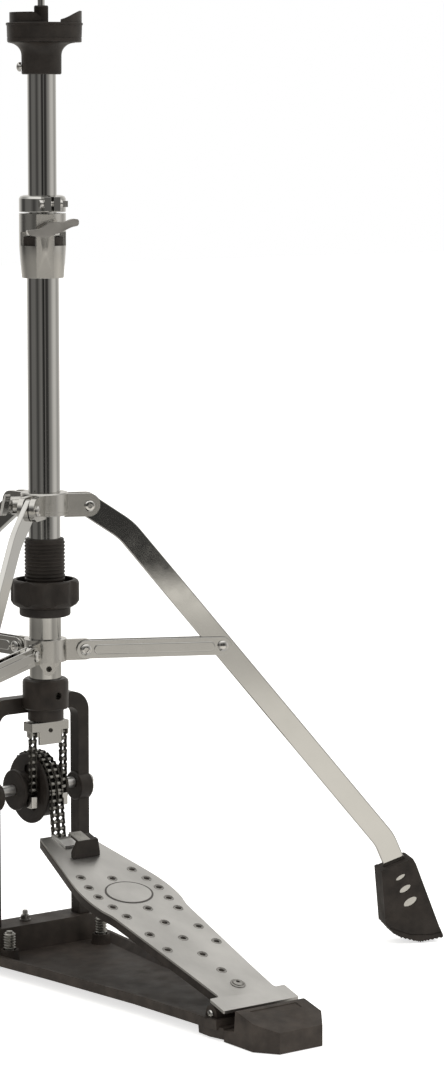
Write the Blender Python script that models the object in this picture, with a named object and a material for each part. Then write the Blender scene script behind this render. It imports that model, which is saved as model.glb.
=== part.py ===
"""Hi-hat stand: telescopic tube, folding tripod, swivelling chain pedal and cymbal seat.

Sizes are metres, +Z up, with the origin on the floor under the tube. The pedal's heel points
towards -Y, so "forward" means -Y, "across" means +X and a turn of 0 degrees faces the heel.
"""

from math import cos, pi, radians, sin, sqrt

import bmesh
import bpy
from mathutils import Matrix, Vector

MM = 0.001
GAP = 0.3 * MM
STEPS = 24
WELD = 0.002 * MM

# tubes and rod
TUBE_R = 14.3 * MM
TUBE_BORE_R = 13.1 * MM
TUBE_LOW = 226.3 * MM
TUBE_HIGH = 658 * MM
UPPER_R = 12.7 * MM
UPPER_BORE_R = 11.5 * MM
UPPER_LOW = 470 * MM
UPPER_HIGH = 822 * MM
ROD_R = 3.15 * MM
ROD_LOW = 213.5 * MM
ROD_HIGH = 1165 * MM
ON_TUBE_R = TUBE_R + GAP
ON_UPPER_R = UPPER_R + GAP

# height clamp and its lock ring
CLAMP_LOW = 621 * MM
CLAMP_HIGH = 678 * MM
CLAMP_R = 20.8 * MM
CLAMP_TURN = radians(-18)
PAD_TURN = radians(-28)
WING_HEIGHT = 666 * MM
LOCK_HIGH = 694 * MM
LOCK_TURN = radians(-15)

# cymbal seat
SEAT_LOW = 800 * MM
SEAT_DISC_LOW = 828 * MM
SEAT_DISC_HIGH = 845 * MM
SEAT_R = 33 * MM
SEAT_TURN = radians(-33.8)

# tripod: leg directions, top pivot, lower pivot and the pivot where brace meets leg
LEG_TURNS = [radians(66.2), radians(-53.8), radians(-173.8)]
TOP_PIVOT = (39.8 * MM, 416.7 * MM)
LOW_PIVOT = (36.2 * MM, 286 * MM)
BRACE_PIVOT = (163 * MM, 285 * MM)
LEG_WIDTH = 20.5 * MM
LEG_HALF_THICK = 2.5 * MM
TOP_COLLAR_R = 21.5 * MM
LOW_COLLAR_R = 19.2 * MM
WING_TURN = radians(-113.8)

# spring tension adjuster
SLEEVE_R = 18.2 * MM
SLEEVE_LOW = 322 * MM
SLEEVE_HIGH = 388 * MM
SLOT_TURN = radians(-123.8)
SPRING_LOW = 324.3 * MM
SPRING_HIGH = 430.5 * MM

# pedal
AXLE_FORWARD = -17 * MM
AXLE_HEIGHT = 158 * MM
AXLE_R = 4.25 * MM
UPRIGHT_OUT = 54.25 * MM
UPRIGHT_IN = 42.75 * MM
UPRIGHT_HALF_DEEP = 6.65 * MM
BRIDGE_HIGH = 35 * MM
BRIDGE_BOLT = (-10 * MM, -21 * MM)
DRIVE_RADIUS = 31.8 * MM
ROD_CHAIN_RADIUS = 20 * MM
ROD_CHAIN_ACROSS = 16.4 * MM
HEEL_FORWARD = 298 * MM
HEEL_HEIGHT = 20 * MM
BOARD_SLOPE = 0.31
BOARD_LEVEL = 27.6 * MM
BOARD_LEVEL_AT = 322 * MM
CHAIN_PIN = (19 * MM, 119 * MM)

COLORS = {
    "chrome": ((0.62, 0.61, 0.59), 0.15, 1.0),
    "steel": ((0.46, 0.45, 0.43), 0.3, 1.0),
    "aluminium": ((0.66, 0.65, 0.63), 0.32, 1.0),
    "black_metal": ((0.022, 0.020, 0.018), 0.42, 0.0),
    "black_plastic": ((0.028, 0.025, 0.022), 0.5, 0.0),
    "rubber": ((0.02, 0.018, 0.015), 0.8, 0.0),
    "nylon": ((0.75, 0.74, 0.7), 0.5, 0.0),
}


def clear_scene():
    for item in list(bpy.data.objects):
        bpy.data.objects.remove(item)


def material(name):
    """One Principled material for each kind of surface."""
    found = bpy.data.materials.get(name)
    if found:
        return found
    color, roughness, metallic = COLORS[name]
    made = bpy.data.materials.new(name)
    made.use_nodes = True
    shader = made.node_tree.nodes["Principled BSDF"]
    shader.inputs["Base Color"].default_value = (*color, 1)
    shader.inputs["Roughness"].default_value = roughness
    shader.inputs["Metallic"].default_value = metallic
    return made


def to_object(mesh):
    """Turn a bmesh into a linked object with its faces pointing out."""
    bmesh.ops.recalc_face_normals(mesh, faces=mesh.faces)
    data = bpy.data.meshes.new("shape")
    mesh.to_mesh(data)
    mesh.free()
    item = bpy.data.objects.new("shape", data)
    bpy.context.scene.collection.objects.link(item)
    return item


def lathe(profile, steps=STEPS):
    """Revolve a closed (radius, height) profile about Z."""
    mesh = bmesh.new()
    rings = []
    for radius, height in profile:
        ring = []
        for index in range(1 if radius == 0 else steps):
            angle = 2 * pi * index / steps
            ring.append(mesh.verts.new((radius * sin(angle), -radius * cos(angle), height)))
        rings.append(ring)
    for low, high in zip(rings, rings[1:] + rings[:1]):
        if len(low) == 1 and len(high) == 1:
            continue
        for index in range(steps):
            after = (index + 1) % steps
            corners = [low[index % len(low)], low[after % len(low)]]
            corners += [high[after % len(high)], high[index % len(high)]]
            mesh.faces.new(list(dict.fromkeys(corners)))
    return to_object(mesh)


def ring(inner, outer, low, high, steps=STEPS):
    return lathe([(inner, low), (outer, low), (outer, high), (inner, high)], steps)


def post(radius, low, high, steps=STEPS):
    return lathe([(0, low), (radius, low), (radius, high), (0, high)], steps)


def loft(low_points, high_points):
    """Close the solid between two loops of as many points."""
    mesh = bmesh.new()
    low = [mesh.verts.new(point) for point in low_points]
    high = [mesh.verts.new(point) for point in high_points]
    mesh.faces.new(low)
    mesh.faces.new(high)
    for index in range(len(low)):
        after = (index + 1) % len(low)
        mesh.faces.new([low[index], low[after], high[after], high[index]])
    return to_object(mesh)


def flat_prism(outline, low, high):
    """Extrude an (across, forward) outline upwards."""
    return loft([(a, -b, low) for a, b in outline], [(a, -b, high) for a, b in outline])


def side_prism(outline, low, high):
    """Extrude a (forward, up) outline across."""
    return loft([(low, -a, b) for a, b in outline], [(high, -a, b) for a, b in outline])


def front_prism(outline, low, high):
    """Extrude an (across, up) outline forward."""
    return loft([(a, -low, b) for a, b in outline], [(a, -high, b) for a, b in outline])


def block(across, forward, up):
    """A box between the given pairs of limits."""
    corners = [(across[0], forward[0]), (across[1], forward[0])]
    corners += [(across[1], forward[1]), (across[0], forward[1])]
    return flat_prism(corners, up[0], up[1])


def arc(center, radius, start, end, count):
    """Points on an arc, its angles in degrees."""
    points = []
    for index in range(count + 1):
        angle = radians(start + (end - start) * index / count)
        points.append((center[0] + radius * cos(angle), center[1] + radius * sin(angle)))
    return points


def moved(item, matrix):
    item.data.transform(matrix)
    return item


def turned(item, angle):
    """Swing a shape about Z from facing the heel to facing another way."""
    return moved(item, Matrix.Rotation(angle, 4, "Z"))


def outward(item, height):
    """Lay an upright shape down so that its +Z faces the heel."""
    matrix = Matrix.Translation((0, 0, height)) @ Matrix.Rotation(pi / 2, 4, "X")
    return moved(item, matrix)


def crosswise(item, forward, height):
    """Lay an upright shape along X at a place in the side view."""
    matrix = Matrix.Translation((0, -forward, height)) @ Matrix.Rotation(pi / 2, 4, "Y")
    return moved(item, matrix)


def standing(item, across, forward):
    return moved(item, Matrix.Translation((across, -forward, 0)))


def mirrored(item, side):
    """Flip a shape to the left when side is -1."""
    if side < 0:
        item.data.transform(Matrix.Scale(-1, 4, (1, 0, 0)))
        item.data.flip_normals()
    return item


def boolean(target, tool, operation):
    modifier = target.modifiers.new("cut", "BOOLEAN")
    modifier.operation = operation
    modifier.object = tool
    graph = bpy.context.evaluated_depsgraph_get()
    result = bpy.data.meshes.new_from_object(target.evaluated_get(graph))
    target.modifiers.clear()
    target.data = result
    bpy.data.objects.remove(tool)
    mesh = bmesh.new()
    mesh.from_mesh(result)
    bmesh.ops.remove_doubles(mesh, verts=mesh.verts, dist=WELD)
    mesh.to_mesh(result)
    mesh.free()
    return target


def join(target, *others):
    for other in others:
        boolean(target, other, "UNION")
    return target


def cut(target, *others):
    for other in others:
        boolean(target, other, "DIFFERENCE")
    return target


def common(target, other):
    return boolean(target, other, "INTERSECT")


def finish(item, name, kind, pivot=(0, 0, 0)):
    """Name a sub-part, give it its material and put its origin on its joint."""
    item.name = name
    item.data.name = name
    item.data.materials.clear()
    item.data.materials.append(material(kind))
    item.data.transform(Matrix.Translation(-Vector(pivot)))
    item.location = pivot
    item.data.shade_smooth()
    item.data.set_sharp_from_angle(angle=radians(35))


def around(turn, radius, height):
    """The place at a radius from the tube's axis, in the direction of a turn."""
    return (radius * sin(turn), -radius * cos(turn), height)


# ---------------------------------------------------------------- tubes, clamp and seat


def slot_pair(half_width, reach, low, high):
    """A bar through the tube, for the two slots of the spring seat."""
    return turned(block((-half_width, half_width), (-reach, reach), (low, high)), SLOT_TURN)


def tubes():
    lower = ring(TUBE_BORE_R, TUBE_R, TUBE_LOW, TUBE_HIGH)
    finish(cut(lower, slot_pair(2.9 * MM, 25 * MM, 316 * MM, 352 * MM)), "lower_tube", "chrome")
    upper = ring(UPPER_BORE_R, UPPER_R, UPPER_LOW, UPPER_HIGH)
    finish(upper, "upper_tube", "chrome", (0, 0, UPPER_LOW))


def clamp():
    """Clamp body with a flat pad, two windows and a bushing for the upper tube."""
    step = TUBE_HIGH + GAP
    body = lathe(
        [(10 * MM, CLAMP_LOW), (18 * MM, CLAMP_LOW), (CLAMP_R, 645 * MM),
         (CLAMP_R, CLAMP_HIGH), (10 * MM, CLAMP_HIGH)]
    )
    pad = block((-8 * MM, 8 * MM), (12 * MM, 22 * MM), (628 * MM, 677 * MM))
    join(body, pad)
    cut(body, post(ON_TUBE_R, 600 * MM, step), post(16 * MM, step - GAP, 700 * MM))
    for side in (-1, 1):
        window = block((8.6 * MM, 24 * MM), (6 * MM, 24 * MM), (649.5 * MM, 656.5 * MM))
        cut(body, mirrored(window, side))
    turned(body, PAD_TURN - CLAMP_TURN)
    cut(body, outward(post(3.3 * MM, 12 * MM, 30 * MM, 12), WING_HEIGHT))
    finish(turned(body, CLAMP_TURN), "clamp_body", "chrome")
    bushing = ring(ON_UPPER_R, 15.7 * MM, step + GAP, CLAMP_HIGH - GAP)
    finish(bushing, "clamp_bushing", "nylon")


def wing_bolt(length, half_span, start):
    """Screw with a leaf-shaped wing, its axis up, starting at a radius."""
    collar = start + length
    bolt = lathe(
        [(0, start), (3 * MM, start), (3 * MM, collar), (5.5 * MM, collar),
         (5.5 * MM, collar + 5 * MM), (0, collar + 5 * MM)], 16
    )
    leaf = arc((0, 0), 5.8 * MM, 40, 140, 4) + [(-half_span, 2 * MM), (-half_span, -3 * MM)]
    leaf += arc((0, 0), 5.8 * MM, 220, 320, 4) + [(half_span, -2 * MM), (half_span, 3 * MM)]
    wing = flat_prism(leaf, collar + 3 * MM, collar + 8 * MM)
    return join(bolt, wing)


def wing_bolts():
    clamp_bolt = wing_bolt(10 * MM, 22.5 * MM, 16.2 * MM)
    clamp_bolt.data.transform(Matrix.Rotation(radians(10), 4, "Z"))
    place = around(CLAMP_TURN, 29.5 * MM, WING_HEIGHT)
    finish(turned(outward(clamp_bolt, WING_HEIGHT), CLAMP_TURN), "clamp_wing_bolt", "chrome", place)
    tripod_bolt = wing_bolt(15.5 * MM, 19 * MM, 15 * MM)
    height = TOP_PIVOT[1] + 1.3 * MM
    place = around(WING_TURN, 30 * MM, height)
    finish(turned(outward(tripod_bolt, height), WING_TURN), "tripod_wing_bolt", "steel", place)


def lock_ring():
    """Split ring on the upper tube, closed by a square-headed key bolt."""
    low = CLAMP_HIGH + 1.3 * MM
    body = ring(10 * MM, CLAMP_R, low, LOCK_HIGH)
    ears = block((-8 * MM, 8 * MM), (14 * MM, 28 * MM), (low + 1 * MM, LOCK_HIGH - 1 * MM))
    join(body, ears)
    cut(body, post(ON_UPPER_R, 600 * MM, 700 * MM))
    cut(body, block((-1.2 * MM, 1.2 * MM), (5 * MM, 40 * MM), (600 * MM, 700 * MM)))
    bolt_height = (low + LOCK_HIGH) / 2
    forward = 23 * MM
    cut(body, crosswise(post(2.8 * MM, -20 * MM, 20 * MM, 12), forward, bolt_height))
    finish(turned(body, LOCK_TURN), "lock_ring", "chrome", (0, 0, low))
    bolt = lathe(
        [(0, -11 * MM), (3.8 * MM, -11 * MM), (3.8 * MM, -8.3 * MM), (2.5 * MM, -8.3 * MM),
         (2.5 * MM, 8.3 * MM), (3.8 * MM, 8.3 * MM), (3.8 * MM, 15 * MM), (0, 15 * MM)], 12
    )
    bolt = turned(crosswise(bolt, forward, bolt_height), LOCK_TURN)
    finish(bolt, "lock_bolt", "chrome", around(LOCK_TURN, forward, bolt_height))


def seat():
    """Flared holder on the tube's end and the cup that carries the lower cymbal."""
    bore = ROD_R + 0.45 * MM
    holder = lathe(
        [(ON_UPPER_R, SEAT_LOW), (17.75 * MM, SEAT_LOW), (17.75 * MM, 816 * MM),
         (18.8 * MM, 820 * MM), (22 * MM, 824.5 * MM), (29 * MM, 827.7 * MM),
         (bore, 827.7 * MM), (bore, 822.4 * MM), (ON_UPPER_R, 822.4 * MM)]
    )
    screw_height = 806.5 * MM
    left = SEAT_TURN - pi / 2
    hole = turned(outward(post(2.3 * MM, 10 * MM, 25 * MM, 12), screw_height), left)
    finish(cut(holder, hole), "seat_holder", "black_plastic", (0, 0, SEAT_LOW))
    screw = lathe(
        [(0, 13.2 * MM), (2 * MM, 13.2 * MM), (2 * MM, 18.1 * MM), (4.2 * MM, 18.1 * MM),
         (4.2 * MM, 19.8 * MM), (2.2 * MM, 21.9 * MM), (0, 22.4 * MM)], 12
    )
    screw = turned(outward(screw, screw_height), left)
    finish(screw, "seat_screw", "chrome", around(left, 19 * MM, screw_height))

    disc_shift = 2.7 * MM
    cup = standing(post(SEAT_R, SEAT_DISC_LOW, SEAT_DISC_HIGH, 32), disc_shift, 0)
    drum = flat_prism(arc((0, 0), 28 * MM, 90, 270, 14), 842 * MM, 854 * MM)
    edge = [(-30 * MM, 840 * MM), (9 * MM, 842.5 * MM), (-5 * MM, 854.5 * MM), (-30 * MM, 854 * MM)]
    common(drum, front_prism(edge, -40 * MM, 40 * MM))
    wedge = standing(post(SEAT_R, 842 * MM, 856 * MM, 32), disc_shift, 0)
    slope = [(17 * MM, 840 * MM), (40 * MM, 840 * MM), (40 * MM, 855 * MM),
             (33.5 * MM, 855 * MM), (24 * MM, 850 * MM), (17 * MM, 847.3 * MM)]
    common(wedge, front_prism(slope, -40 * MM, 40 * MM))
    join(cup, drum, wedge, post(5.8 * MM, 842 * MM, 860 * MM, 16))
    cut(cup, post(bore, 800 * MM, 870 * MM, 16))
    finish(turned(cup, SEAT_TURN), "seat_cup", "black_plastic", (0, 0, SEAT_DISC_LOW))


# ---------------------------------------------------------------- spring and its adjuster


def adjuster():
    """Threaded sleeve, the ring and knob that climb it, and the seat they lift."""
    sleeve = ring(ON_TUBE_R, SLEEVE_R, SLEEVE_LOW, SLEEVE_HIGH)
    cut(sleeve, slot_pair(2.9 * MM, 30 * MM, 310 * MM, 352 * MM))
    finish(sleeve, "tension_sleeve", "black_plastic")

    on_sleeve = SLEEVE_R + GAP
    collar = ring(on_sleeve, 23 * MM, 317 * MM, 326 * MM)
    cut(collar, slot_pair(2.8 * MM, 21.3 * MM, 318.7 * MM, 324.3 * MM))
    finish(collar, "tension_ring", "black_plastic", (0, 0, 317 * MM))

    low = 326.3 * MM
    high = 351 * MM
    rim = []
    for index in range(48):
        angle = 2 * pi * index / 48
        radius = 29.6 * MM + 1.4 * MM * cos(8 * angle)
        rim.append((radius * cos(angle), radius * sin(angle)))
    knob = flat_prism(rim, low, high)
    cut(knob, post(on_sleeve, 300 * MM, 400 * MM), post(25.5 * MM, 343 * MM, 400 * MM))
    finish(knob, "tension_knob", "black_plastic", (0, 0, low))

    seat_disc = post(12.5 * MM, 319 * MM, 324 * MM)
    join(seat_disc, slot_pair(2.5 * MM, 21 * MM, 319 * MM, 324 * MM))
    cut(seat_disc, post(ROD_R + 0.45 * MM, 300 * MM, 330 * MM, 16))
    finish(seat_disc, "spring_seat", "steel", (0, 0, 319 * MM))


def spring():
    """Open coil round the rod, between the seat and the rod's stop."""
    coil_radius = 9 * MM
    wire = 1.3 * MM
    turns = 8
    per_turn = 12
    sides = 5
    count = turns * per_turn
    climb = SPRING_HIGH - SPRING_LOW - 2 * wire - 2 * GAP
    mesh = bmesh.new()
    loops = []
    for step in range(count + 1):
        angle = 2 * pi * step / per_turn
        height = SPRING_LOW + GAP + wire + climb * step / count
        loop = []
        for side in range(sides):
            tilt = 2 * pi * side / sides
            radius = coil_radius + wire * cos(tilt)
            loop.append(mesh.verts.new((radius * cos(angle), radius * sin(angle), height + wire * sin(tilt))))
        loops.append(loop)
    for low, high in zip(loops, loops[1:]):
        for side in range(sides):
            after = (side + 1) % sides
            mesh.faces.new([low[side], low[after], high[after], high[side]])
    mesh.faces.new(loops[0])
    mesh.faces.new(loops[-1])
    finish(to_object(mesh), "return_spring", "steel", (0, 0, SPRING_LOW))


def pull_rod():
    """Rod through the whole stand, with the stop that presses on the spring."""
    stop_low = SPRING_HIGH + GAP
    rod = lathe(
        [(0, ROD_LOW), (ROD_R, ROD_LOW), (ROD_R, stop_low), (10.8 * MM, stop_low),
         (10.8 * MM, stop_low + 6 * MM), (ROD_R, stop_low + 6 * MM), (ROD_R, ROD_HIGH),
         (0, ROD_HIGH)], 16
    )
    finish(rod, "pull_rod", "chrome", (0, 0, ROD_LOW))


# ---------------------------------------------------------------- tripod


def lug(pivot, height, start, half_thick, offset):
    """Flat ear from a collar out to a pivot, rounded about it."""
    radius = height / 2
    outline = [(start, pivot[1] - radius)]
    outline += arc(pivot, radius, -90, 90, 8)
    outline += [(start, pivot[1] + radius)]
    return side_prism(outline, offset - half_thick, offset + half_thick)


def pin(radius, half_length, head_radius, head):
    """Headed pin along Z, centred on the origin."""
    return lathe(
        [(0, -half_length - head), (head_radius, -half_length - head), (head_radius, -half_length),
         (radius, -half_length), (radius, half_length), (head_radius, half_length),
         (head_radius, half_length + head), (0, half_length + head)], 12
    )


def top_collar():
    """Sliding collar with three clevises and a boss for the wing bolt."""
    body = ring(10 * MM, TOP_COLLAR_R, 407 * MM, 429 * MM)
    for turn in LEG_TURNS:
        for side in (-1, 1):
            ear = lug(TOP_PIVOT, 19 * MM, 17 * MM, 2.5 * MM, side * 5.5 * MM)
            cut(ear, crosswise(post(3.8 * MM, -20 * MM, 20 * MM, 12), *TOP_PIVOT))
            join(body, turned(ear, turn))
    height = TOP_PIVOT[1] + 1.3 * MM
    join(body, turned(outward(post(8 * MM, 18 * MM, 30 * MM, 16), height), WING_TURN))
    cut(body, post(ON_TUBE_R, 400 * MM, 440 * MM))
    cut(body, turned(outward(post(3.3 * MM, 12 * MM, 40 * MM, 12), height), WING_TURN))
    finish(body, "top_collar", "chrome", (0, 0, 407 * MM))
    for number, turn in enumerate(LEG_TURNS, 1):
        bolt = crosswise(pin(3.5 * MM, 8.3 * MM, 6 * MM, 2.7 * MM), *TOP_PIVOT)
        finish(turned(bolt, turn), f"leg_bolt_{number}", "chrome", around(turn, *TOP_PIVOT))


def lower_collar():
    """Fixed collar with three tongues for the braces, and its set screw below."""
    body = ring(10 * MM, LOW_COLLAR_R, 277 * MM, 297 * MM)
    for turn in LEG_TURNS:
        tongue = lug(LOW_PIVOT, 19 * MM, 15.5 * MM, 2.4 * MM, 0)
        cut(tongue, crosswise(post(3.3 * MM, -20 * MM, 20 * MM, 12), *LOW_PIVOT))
        join(body, turned(tongue, turn))
    screw_turn = radians(-23)
    tab = block((-6.5 * MM, 6.5 * MM), (10 * MM, 17.6 * MM), (265.5 * MM, 279 * MM))
    join(body, turned(tab, screw_turn))
    cut(body, post(ON_TUBE_R, 250 * MM, 300 * MM))
    screw_height = 271.5 * MM
    cut(body, turned(outward(post(2.6 * MM, 12 * MM, 25 * MM, 12), screw_height), screw_turn))
    finish(body, "lower_collar", "chrome")
    screw = outward(post(2.3 * MM, 14.7 * MM, 18.2 * MM, 12), screw_height)
    finish(turned(screw, screw_turn), "collar_screw", "steel")


def bar_outline(points, half_width):
    """Outline of a flat bar along a bent centre line, rounded at its first end."""
    sides = ([], [])
    for index, point in enumerate(points):
        before = points[max(index - 1, 0)]
        after = points[min(index + 1, len(points) - 1)]
        run = (after[0] - before[0], after[1] - before[1])
        size = sqrt(run[0] ** 2 + run[1] ** 2)
        normal = (-run[1] / size * half_width, run[0] / size * half_width)
        sides[0].append((point[0] + normal[0], point[1] + normal[1]))
        sides[1].append((point[0] - normal[0], point[1] - normal[1]))
    start = points[0]
    angle = Vector((sides[1][0][0] - start[0], sides[1][0][1] - start[1])).angle_signed(Vector((1, 0)))
    cap = arc(start, half_width, angle * 180 / pi, angle * 180 / pi - 180, 8)[1:-1]
    return sides[0] + sides[1][::-1] + cap


def bent_path(corners, radii, count=4):
    """Centre line through corners, each inner one rounded to its radius."""
    path = [corners[0]]
    for before, corner, after, radius in zip(corners, corners[1:], corners[2:], radii):
        start = Vector(before) - Vector(corner)
        end = Vector(after) - Vector(corner)
        opening = start.angle(end)
        reach = radius * cos(opening / 2) / sin(opening / 2)
        first = Vector(corner) + start.normalized() * reach
        last = Vector(corner) + end.normalized() * reach
        for index in range(count + 1):
            blend = index / count
            low = first.lerp(Vector(corner), blend)
            high = Vector(corner).lerp(last, blend)
            path.append(tuple(low.lerp(high, blend)))
    path.append(corners[-1])
    return path


def leg_outline(extra=0):
    corners = [TOP_PIVOT, (74.5 * MM, 393.3 * MM), (318 * MM, 97 * MM),
               (335 * MM, 57 * MM), (346 * MM, 30 * MM)]
    path = bent_path(corners, [60 * MM, 40 * MM, 30 * MM])
    return bar_outline(path, LEG_WIDTH / 2 + extra)


def oval(center, along, across, tilt, count=16):
    """Points of an oval window, its long axis tilted up from forward."""
    points = []
    for index in range(count):
        angle = 2 * pi * index / count
        a = along * cos(angle)
        b = across * sin(angle)
        points.append((center[0] + a * cos(tilt) - b * sin(tilt),
                       center[1] + a * sin(tilt) + b * cos(tilt)))
    return points


def foot_outline():
    top = [(312, 69.8), (317, 71.3), (337, 78.5), (339.5, 81), (345, 75.5), (368, 15), (372.5, 6.5)]
    sole = [(371, 3.8), (358, 1.5), (350, 0.2), (344, 1.8), (331.5, 5.5), (324.5, 9.5), (317, 18.5)]
    return [(a * MM, b * MM) for a, b in top + sole]


def legs():
    """Three bent bars on the top collar, each in a rubber foot with three windows."""
    windows = [((330.5, 63), (5, 2)), ((335, 52), (6, 2.75)), ((340, 39.5), (7, 3.5))]
    for number, turn in enumerate(LEG_TURNS, 1):
        leg = side_prism(leg_outline(), -LEG_HALF_THICK, LEG_HALF_THICK)
        cut(leg, crosswise(post(3.8 * MM, -20 * MM, 20 * MM, 12), *TOP_PIVOT))
        pivot = around(turn, *TOP_PIVOT)
        finish(turned(leg, turn), f"leg_{number}", "chrome", pivot)
        foot = side_prism(foot_outline(), -13 * MM, 13 * MM)
        half_pocket = LEG_HALF_THICK + GAP
        cut(foot, side_prism(leg_outline(GAP), -half_pocket, half_pocket))
        for center, size in windows:
            place = (center[0] * MM, center[1] * MM)
            shape = oval(place, size[0] * MM, size[1] * MM, radians(30), 10)
            cut(foot, side_prism(shape, -20 * MM, 20 * MM))
        finish(turned(foot, turn), f"foot_{number}", "rubber", pivot)


def braces():
    """Pairs of strips from the lower collar to the legs; rivet heads mark the outer pivot."""
    strip_radius = 7.75 * MM
    inner = 2.8 * MM
    outer = 5.3 * MM
    for number, turn in enumerate(LEG_TURNS, 1):
        pivot = around(turn, *LOW_PIVOT)
        for side, word in ((-1, "left"), (1, "right")):
            outline = arc(LOW_PIVOT, strip_radius, 90, 270, 8) + arc(BRACE_PIVOT, strip_radius, -90, 90, 8)
            strip = side_prism(outline, inner, outer)
            cut(strip, crosswise(post(3.3 * MM, -20 * MM, 20 * MM, 12), *LOW_PIVOT))
            head = lathe([(0, 4 * MM), (5 * MM, 4 * MM), (5 * MM, 6.3 * MM), (0, 7.3 * MM)], 12)
            join(strip, crosswise(head, *BRACE_PIVOT))
            finish(turned(mirrored(strip, side), turn), f"brace_{number}_{word}", "chrome", pivot)
        rivet = crosswise(pin(3 * MM, 5.6 * MM, 5.2 * MM, 1.9 * MM), *LOW_PIVOT)
        finish(turned(rivet, turn), f"brace_rivet_{number}", "chrome", pivot)


# ---------------------------------------------------------------- pedal frame and base


def pedal_frame():
    """Cast collar that turns on the tube, with its arch down to the base."""
    center = AXLE_FORWARD
    top_out = 243 * MM
    top_in = 229 * MM
    out_round = 18 * MM
    in_round = 9 * MM
    low = BRIDGE_HIGH + GAP
    outline = [(UPRIGHT_OUT, low)]
    outline += arc((UPRIGHT_OUT - out_round, top_out - out_round), out_round, 0, 90, 5)
    outline += arc((-UPRIGHT_OUT + out_round, top_out - out_round), out_round, 90, 180, 5)
    outline += [(-UPRIGHT_OUT, low), (-UPRIGHT_IN, low)]
    outline += arc((-UPRIGHT_IN + in_round, top_in - in_round), in_round, 180, 90, 4)
    outline += arc((UPRIGHT_IN - in_round, top_in - in_round), in_round, 90, 0, 4)
    outline += [(UPRIGHT_IN, low)]
    frame = front_prism(outline, center - UPRIGHT_HALF_DEEP, center + UPRIGHT_HALF_DEEP)
    collar = lathe(
        [(0, 223 * MM), (15.7 * MM, 223 * MM), (15.7 * MM, 234 * MM), (20 * MM, 234 * MM),
         (20 * MM, 258 * MM), (18.5 * MM, 260 * MM), (0, 260 * MM)]
    )
    join(frame, collar)
    for side in (-1, 1):
        boss = crosswise(post(14 * MM, 41 * MM, 56 * MM), center, AXLE_HEIGHT)
        join(frame, mirrored(boss, side))
    cut(frame, post(ON_TUBE_R, TUBE_LOW - GAP, 270 * MM), post(12 * MM, 200 * MM, 230 * MM))
    cut(frame, crosswise(post(AXLE_R + GAP, -80 * MM, 80 * MM, 16), center, AXLE_HEIGHT))
    screw_height = 247 * MM
    cut(frame, outward(post(3.3 * MM, 10 * MM, 30 * MM, 12), screw_height))
    finish(frame, "pedal_frame", "black_metal")
    finish(outward(post(3 * MM, 14.8 * MM, 19.6 * MM, 12), screw_height), "frame_screw", "black_metal")


def base_outline(inset):
    """Plan of the tray: wide under the arch, tapering to the heel hinge."""
    corners = [(70, -38), (70, 0), (58, 90), (46, 200), (40, 311)]
    right = [(a * MM - inset, b * MM) for a, b in corners]
    right[0] = (right[0][0], right[0][1] + inset)
    right[-1] = (right[-1][0], right[-1][1] - inset)
    return right + [(-a, b) for a, b in reversed(right)]


def base_plate():
    """Shallow tray on a sole and two pads, with a bridge, spur bosses and hinge lugs."""
    underside = 9 * MM
    floor = underside + 3 * MM
    base = flat_prism(base_outline(0), underside, 18 * MM)
    narrow = base_outline(12 * MM)
    wide = base_outline(4 * MM)
    hollow = loft([(a, -b, floor) for a, b in narrow], [(a, -b, 19 * MM) for a, b in wide])
    cut(base, hollow)
    bridge = block((-62 * MM, 62 * MM), (-37 * MM, -5 * MM), (floor - 1 * MM, BRIDGE_HIGH))
    tail = block((-30 * MM, 30 * MM), (305 * MM, 330.6 * MM), (0, 12.5 * MM))
    sole = block((-24 * MM, 24 * MM), (-30 * MM, 60 * MM), (0, floor - 1 * MM))
    join(base, bridge, tail, sole)
    for side in (-1, 1):
        boss = standing(post(8 * MM, floor - 1 * MM, 21 * MM, 16), 50 * MM * side, 14 * MM)
        pad = standing(post(7 * MM, 0, floor - 1 * MM, 16), 60 * MM * side, -27 * MM)
        outline = [(290 * MM, floor - 1 * MM), (306 * MM, floor - 1 * MM)]
        outline += arc((HEEL_FORWARD, HEEL_HEIGHT), 7.5 * MM, 0, 180, 8)
        ear = mirrored(side_prism(outline, 15 * MM, 41.5 * MM), side)
        join(base, boss, pad, ear)
        cut(base, standing(post(4.3 * MM, -5 * MM, 30 * MM, 12), 50 * MM * side, 14 * MM))
    cut(base, standing(post(3.8 * MM, 24 * MM, 50 * MM, 12), *BRIDGE_BOLT))
    cut(base, crosswise(post(3.3 * MM, -60 * MM, 60 * MM, 12), HEEL_FORWARD, HEEL_HEIGHT))
    finish(base, "base_plate", "black_plastic")


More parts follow.
